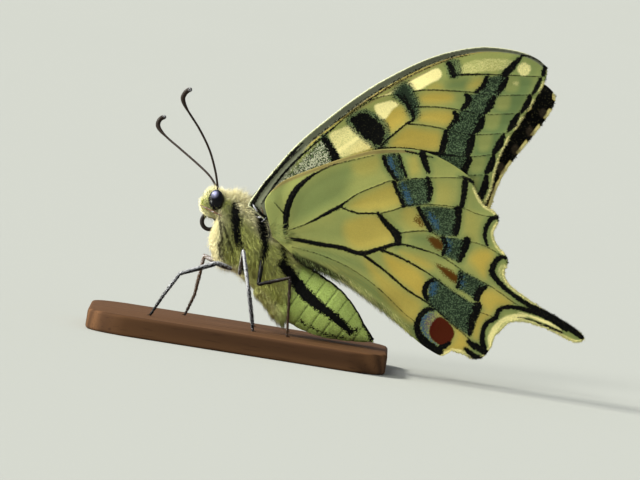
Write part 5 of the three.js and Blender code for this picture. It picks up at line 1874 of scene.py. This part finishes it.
class SWALLOWTAIL_OT_legs(Builder, bpy.types.Operator):
    """Builds the six legs with their segments, spurs, claws and short hairs."""

    bl_idname = "swallowtail.legs"
    bl_label = "Legs"
    seed = 31

    def build(self, scene, rng):
        legs = dict(LEGS)
        for name, original in MIRRORED_LEGS.items():
            leg = dict(LEGS[original])
            leg["joints"] = [(x, -y, z) for x, y, z in leg["joints"]]
            leg["foot"] = (leg["foot"][0], -leg["foot"][1])
            legs[name] = leg
        bristles = Bundle()
        for name, leg in legs.items():
            bundle = Bundle()
            self.leg(bundle, bristles, leg, rng)
            settle(bundle.build(f"leg_{name}_shape"), material("horn"), "cuticle", f"leg_{name}")
        settle(bristles.build("leg_bristles"), material("horn"), "cuticle")

    def leg(self, bundle, bristles, leg, rng):
        sole = foot_place(leg["foot"])
        sole[2] = BASE_TOP + leg["girth"][-1]
        joints = [*to_upright(leg["joints"]), sole]
        count = len(joints)
        for number in range(count - 1):
            start, end = joints[number], joints[number + 1]
            last = number == count - 2
            length = np.linalg.norm(end - start)
            share = np.linspace(0, 1, LEG_STEPS)
            line = start + (end - start) * share[:, None]
            girth = np.interp(share, (0, 1), leg["girth"][number:number + 2])
            girth = girth * (1 + 0.12 * np.sin(share * math.pi))
            girth = girth * (0.82 + 0.18 * smoothstep(0, 0.08, share))
            if last:
                joint = np.abs((share * 5 + 0.5) % 1 - 0.5) * 2
                girth = girth * (0.8 + 0.25 * smoothstep(0, 0.5, joint))
            pale = np.interp(share, (0, 1), leg["pale"][number:number + 2])
            brown = np.interp(share, (0, 1), leg["brown"][number:number + 2])
            points, triangles = tube(line, girth, HORN_SIDES)
            ring = point_rings(LEG_STEPS, HORN_SIDES)
            # Painted highlight: the silvery scales lie thicker on the side of the leg that faces the light.
            lit = smoothstep(-0.1, 0.7, (points - line[ring]) @ (-0.5, -0.25, 0.83) / girth[ring])
            bundle.add(points, triangles, pale=pale[ring] * (0.15 + 0.95 * lit), brown=brown[ring])
            self.bristle(bristles, start, end, girth, pale, brown, int(length * BRISTLES_PER_MM), rng)
            if last:
                self.foot(bundle, start, end, leg)

    @staticmethod
    def bristle(bristles, start, end, girth, pale, brown, count, rng):
        along = (end - start) / np.linalg.norm(end - start)
        side = unit(np.cross(along, (0.2, 0.3, 1.0)))
        up = np.cross(side, along)
        share = rng.random(count)
        turn = rng.uniform(0, 2 * math.pi, count)
        out = np.cos(turn)[:, None] * side + np.sin(turn)[:, None] * up
        thick = np.interp(share, np.linspace(0, 1, len(girth)), girth)
        roots = start + (end - start) * share[:, None] + out * thick[:, None] * 0.9
        reach = rng.uniform(0.14, 0.32, count)
        made = hairs(roots, np.tile(along, (count, 1)), out, reach, 0.018, 0.5, rng)
        tone = np.interp(share, np.linspace(0, 1, len(pale)), pale)
        tan = np.interp(share, np.linspace(0, 1, len(brown)), brown)
        bristles.add(made.reshape(-1, 3), hair_triangles(count), pale=np.repeat(tone, HAIR_POINTS),
                     brown=np.repeat(tan, HAIR_POINTS))

    @staticmethod
    def foot(bundle, start, end, leg):
        """Two spurs at the top of the foot and two claws that reach down to the base."""
        along = (end - start) / np.linalg.norm(end - start)
        heading = unit(np.array([along[0], along[1], 0.0]) + 1e-6)
        side = np.cross(heading, (0, 0, 1))
        for turn in (-1, 1):
            spur = even_line(np.array([start, start + along * 0.5 + side * turn * 0.22]), 0.06)
            points, triangles = tube(spur, np.linspace(0.055, 0.012, len(spur)), 8)
            bundle.add(points, triangles, pale=0.3, brown=0.2)
            hook = np.array([end, end + heading * 0.22 + side * turn * 0.12,
                             end + heading * 0.36 + side * turn * 0.2])
            hook[1, 2] = BASE_TOP + 0.12
            hook[2, 2] = BASE_TOP + 0.03
            line = even_line(hook, 0.04)
            points, triangles = tube(line, np.linspace(0.07, 0.015, len(line)), 8)
            bundle.add(points, triangles, pale=0.0, brown=0.2)
        pad = even_line(np.array([end, end * (1, 1, 0) + (0, 0, BASE_TOP + 0.05)]), 0.03)
        points, triangles = tube(pad, np.full(len(pad), leg["girth"][-1] * 0.8), 10)
        bundle.add(points, triangles, pale=0.0, brown=0.1)


class SWALLOWTAIL_OT_wings(Builder, bpy.types.Operator):
    """Builds the four patterned wings as thin veined sheets that sag between their veins."""

    bl_idname = "swallowtail.wings"
    bl_label = "Wings"

    def build(self, scene, rng):
        sizes = scene.swallowtail_sizes
        sheets, marks = {}, {}
        for shape in ("fore", "hind"):
            sheets[shape] = wing_sheet(shape, sizes.sheet_step / MM)
            marks[shape] = {upper: wing_marks(shape, sheets[shape][0], upper) for upper in (False, True)}
        for name, wing in WINGS.items():
            shape = wing["shape"]
            half = sizes.sheet_thickness / MM / 2
            points, faces, uv, values = wing_mesh(name, sheets[shape], marks[shape], half)
            piece = new_mesh(f"{name}_sheet", to_world(points), faces, uv, values)
            settle(piece, material("painted_wing"), "wing_scales", name)


class SWALLOWTAIL_OT_fringe(Builder, bpy.types.Operator):
    """Grows the fringe of scales on the margins and the hairs along the inner edge of the hindwings."""

    bl_idname = "swallowtail.fringe"
    bl_label = "Fringe"
    seed = 47

    def build(self, scene, rng):
        for name, wing in WINGS.items():
            bundle = Bundle()
            self.fringe(bundle, wing, rng)
            if wing["shape"] == "hind":
                self.inner_hair(bundle, wing, rng)
                self.root_hair(bundle, wing, rng)
            settle(bundle.build(f"{name}_fringe"), material("painted_wing"), "wing_scales")

    @staticmethod
    def lay(bundle, wing, flat, way, lift, reach, radius, rng, **values):
        """Hairs that lie in the sheet of a wing, from flat places along flat ways."""
        place = stand_wing(wing, flat, wing_relief(wing["shape"], flat) + lift)
        ahead = stand_wing(wing, flat + way * 0.1, wing_relief(wing["shape"], flat) + lift)
        along = unit(ahead - place)
        out = np.tile([0.0, wing["side"], 0.0], (len(flat), 1))
        made = hairs(place, along, out, reach, radius, rng.normal(0.0, 0.08, len(flat)), rng)
        full = dict.fromkeys((*SPOTS, "dust", "cool", "tan", "upper"), 0.0)
        full.update({"black": 1.0, "line": 1.0, "vein": 1.0, "cream": 0.0, "warm": 0.0})
        full.update(values)
        count = len(flat)
        spread = {key: np.repeat(np.broadcast_to(value, count), HAIR_POINTS) for key, value in full.items()}
        corners = np.vstack(OUTLINES[wing["shape"]])
        low, high = corners.min(0), corners.max(0)
        root_uv = 0.03 + 0.94 * (flat - low) / (high - low)
        triangles = hair_triangles(count)
        bundle.add(to_upright(made.reshape(-1, 3)), triangles, hair_uv(root_uv, triangles), **spread)

    def fringe(self, bundle, wing, rng):
        shape = wing["shape"]
        edges = [OUTLINES[shape][number] for number in FRINGED[shape]]
        flat, way = wing_edge_roots(edges, FRINGE_PER_MM, rng)
        count = len(flat)
        flat = flat - way * rng.uniform(0.12, 0.3, (count, 1))
        black = np.minimum(vein_end_distance(shape, flat) - 0.5, strokes(flat, BARS[shape]) + 0.1)
        reach = rng.uniform(0.22, 0.42, count)
        way = unit(way + rng.normal(0, 0.12, way.shape))
        lift = rng.uniform(-0.05, 0.05, count)
        cream = rng.uniform(0.55, 1.0, count)
        self.lay(bundle, wing, flat, way, lift, reach, 0.045, rng, cream=cream, black=black)

    def inner_hair(self, bundle, wing, rng):
        """Long soft hairs along the inner edge, pressed down on the abdomen near the body and dark there:
        dark hair and painted shadow of the gap.
        """
        flat, way = wing_edge_roots([OUTLINES[wing["shape"]][-1]], INNER_HAIRS_PER_MM, rng)
        count = len(flat)
        near = smoothstep(10.0, 6.5, flat[:, 0])
        inside = rng.uniform(0.0, 0.7, count)
        flat = flat - way * inside[:, None]
        back = np.array([0.75, -0.66])
        way = unit(way * (0.4 + 0.25 * near[:, None]) + back + rng.normal(0, 0.1, way.shape))
        reach = rng.uniform(0.7, 1.6, count) * np.interp(flat[:, 0], (14.5, 18.0), (1.0, 0.3))
        reach = reach * (1 - 0.4 * near)
        dark = smoothstep(8.2, 6.6, flat[:, 0] + rng.normal(0, 0.6, count)) * (inside < 0.3)
        kept = (flat[:, 0] > 3.3) & (flat[:, 0] < 18.0)
        lift = rng.uniform(-0.06, 0.06, count)
        pale = rng.uniform(0.1, 0.8, count) * (1 - near)
        self.lay(bundle, wing, flat[kept], way[kept], lift[kept], reach[kept], 0.015, rng, cream=pale[kept],
                 soot=0.95 * dark[kept], cool=0.6)

    def root_hair(self, bundle, wing, rng):
        """Hairs that fan out from the root of the wing over its outer face."""
        flat = rng.normal((1.7, -2.6), (0.85, 0.65), (ROOT_HAIRS, 2))
        flat = flat[within(flat, wing_outline(wing["shape"], 0.2))]
        count = len(flat)
        way = unit(flat - (0.2, -2.7) + (0.5, -0.2) + rng.normal(0, 0.2, flat.shape))
        reach = rng.uniform(0.45, 1.1, count)
        self.lay(bundle, wing, flat, way, np.full(count, 0.08), reach, 0.014, rng,
                 cream=rng.uniform(0.0, 0.45, count), cool=rng.uniform(0.2, 0.9, count),
                 soot=0.5 * (rng.random(count) < 0.15))


class SWALLOWTAIL_OT_hinges(Builder, bpy.types.Operator):
    """Builds the silvery plates between the thorax and the roots of the wings."""

    bl_idname = "swallowtail.hinges"
    bl_label = "Wing hinges"
    seed = 59

    def build(self, scene, rng):
        bundle = Bundle()
        plates = [
            ([(-1.45, 1.3), (-1.2, 0.8), (-0.9, 0.4)], 0.17, 0.75, 0.0),
            ([(-1.05, -0.2), (-0.7, -0.3), (-0.35, -0.25)], 0.16, 0.8, 0.3),
            ([(-0.5, 1.0), (-0.3, 0.5), (-0.2, 0.1)], 0.1, 0.1, 0.9),
            ([(-0.5, -0.9), (-0.1, -0.6), (0.2, -0.25)], 0.1, 0.5, 0.0),
            ([(0.1, -0.7), (0.5, -1.7), (0.55, -2.6), (0.2, -3.4)], 0.1, 0.0, 0.0),
        ]
        for side in (-1, 1):
            for line, girth, pale, brown in plates:
                path = [(x, side * (2.78 + 0.05 * number), z) for number, (x, z) in enumerate(line)]
                along = even_line(path, 0.05)
                swell = girth * np.sin(np.linspace(0.3, 2.9, len(along)))
                add_horn(bundle, along, swell, 12, pale, brown, 0.7)
        settle(bundle.build("hinge_plates"), material("horn"), "cuticle")


# ---- The add-on ----

BUILDERS = (
    SWALLOWTAIL_OT_stage, SWALLOWTAIL_OT_base, SWALLOWTAIL_OT_skin, SWALLOWTAIL_OT_coat,
    SWALLOWTAIL_OT_face, SWALLOWTAIL_OT_feelers, SWALLOWTAIL_OT_legs, SWALLOWTAIL_OT_wings,
    SWALLOWTAIL_OT_fringe, SWALLOWTAIL_OT_hinges,
)
SETTINGS = {
    "swallowtail_looks": SWALLOWTAIL_PG_looks,
    "swallowtail_sizes": SWALLOWTAIL_PG_sizes,
    "swallowtail_stage": SWALLOWTAIL_PG_stage,
}


class SWALLOWTAIL_PT_panel(bpy.types.Panel):
    """Lists the settings and the pieces."""

    bl_idname = "SWALLOWTAIL_PT_panel"
    bl_label = "Swallowtail butterfly"
    bl_space_type = "VIEW_3D"
    bl_region_type = "UI"
    bl_category = "Swallowtail"

    def draw(self, context):
        for key, group in SETTINGS.items():
            box = self.layout.box()
            for name in group.__annotations__:
                box.prop(getattr(context.scene, key), name)
        for builder in BUILDERS:
            self.layout.operator(builder.bl_idname)


def register():
    for group in SETTINGS.values():
        bpy.utils.register_class(group)
    for builder in BUILDERS:
        bpy.utils.register_class(builder)
    bpy.utils.register_class(SWALLOWTAIL_PT_panel)
    for key, group in SETTINGS.items():
        setattr(bpy.types.Scene, key, bpy.props.PointerProperty(type=group))


def unregister():
    for key in SETTINGS:
        delattr(bpy.types.Scene, key)
    bpy.utils.unregister_class(SWALLOWTAIL_PT_panel)
    for builder in reversed(BUILDERS):
        bpy.utils.unregister_class(builder)
    for group in SETTINGS.values():
        bpy.utils.unregister_class(group)


def main():
    register()
    for builder in BUILDERS:
        getattr(bpy.ops.swallowtail, builder.bl_idname.split(".")[1])()


if __name__ == "__main__":
    main()
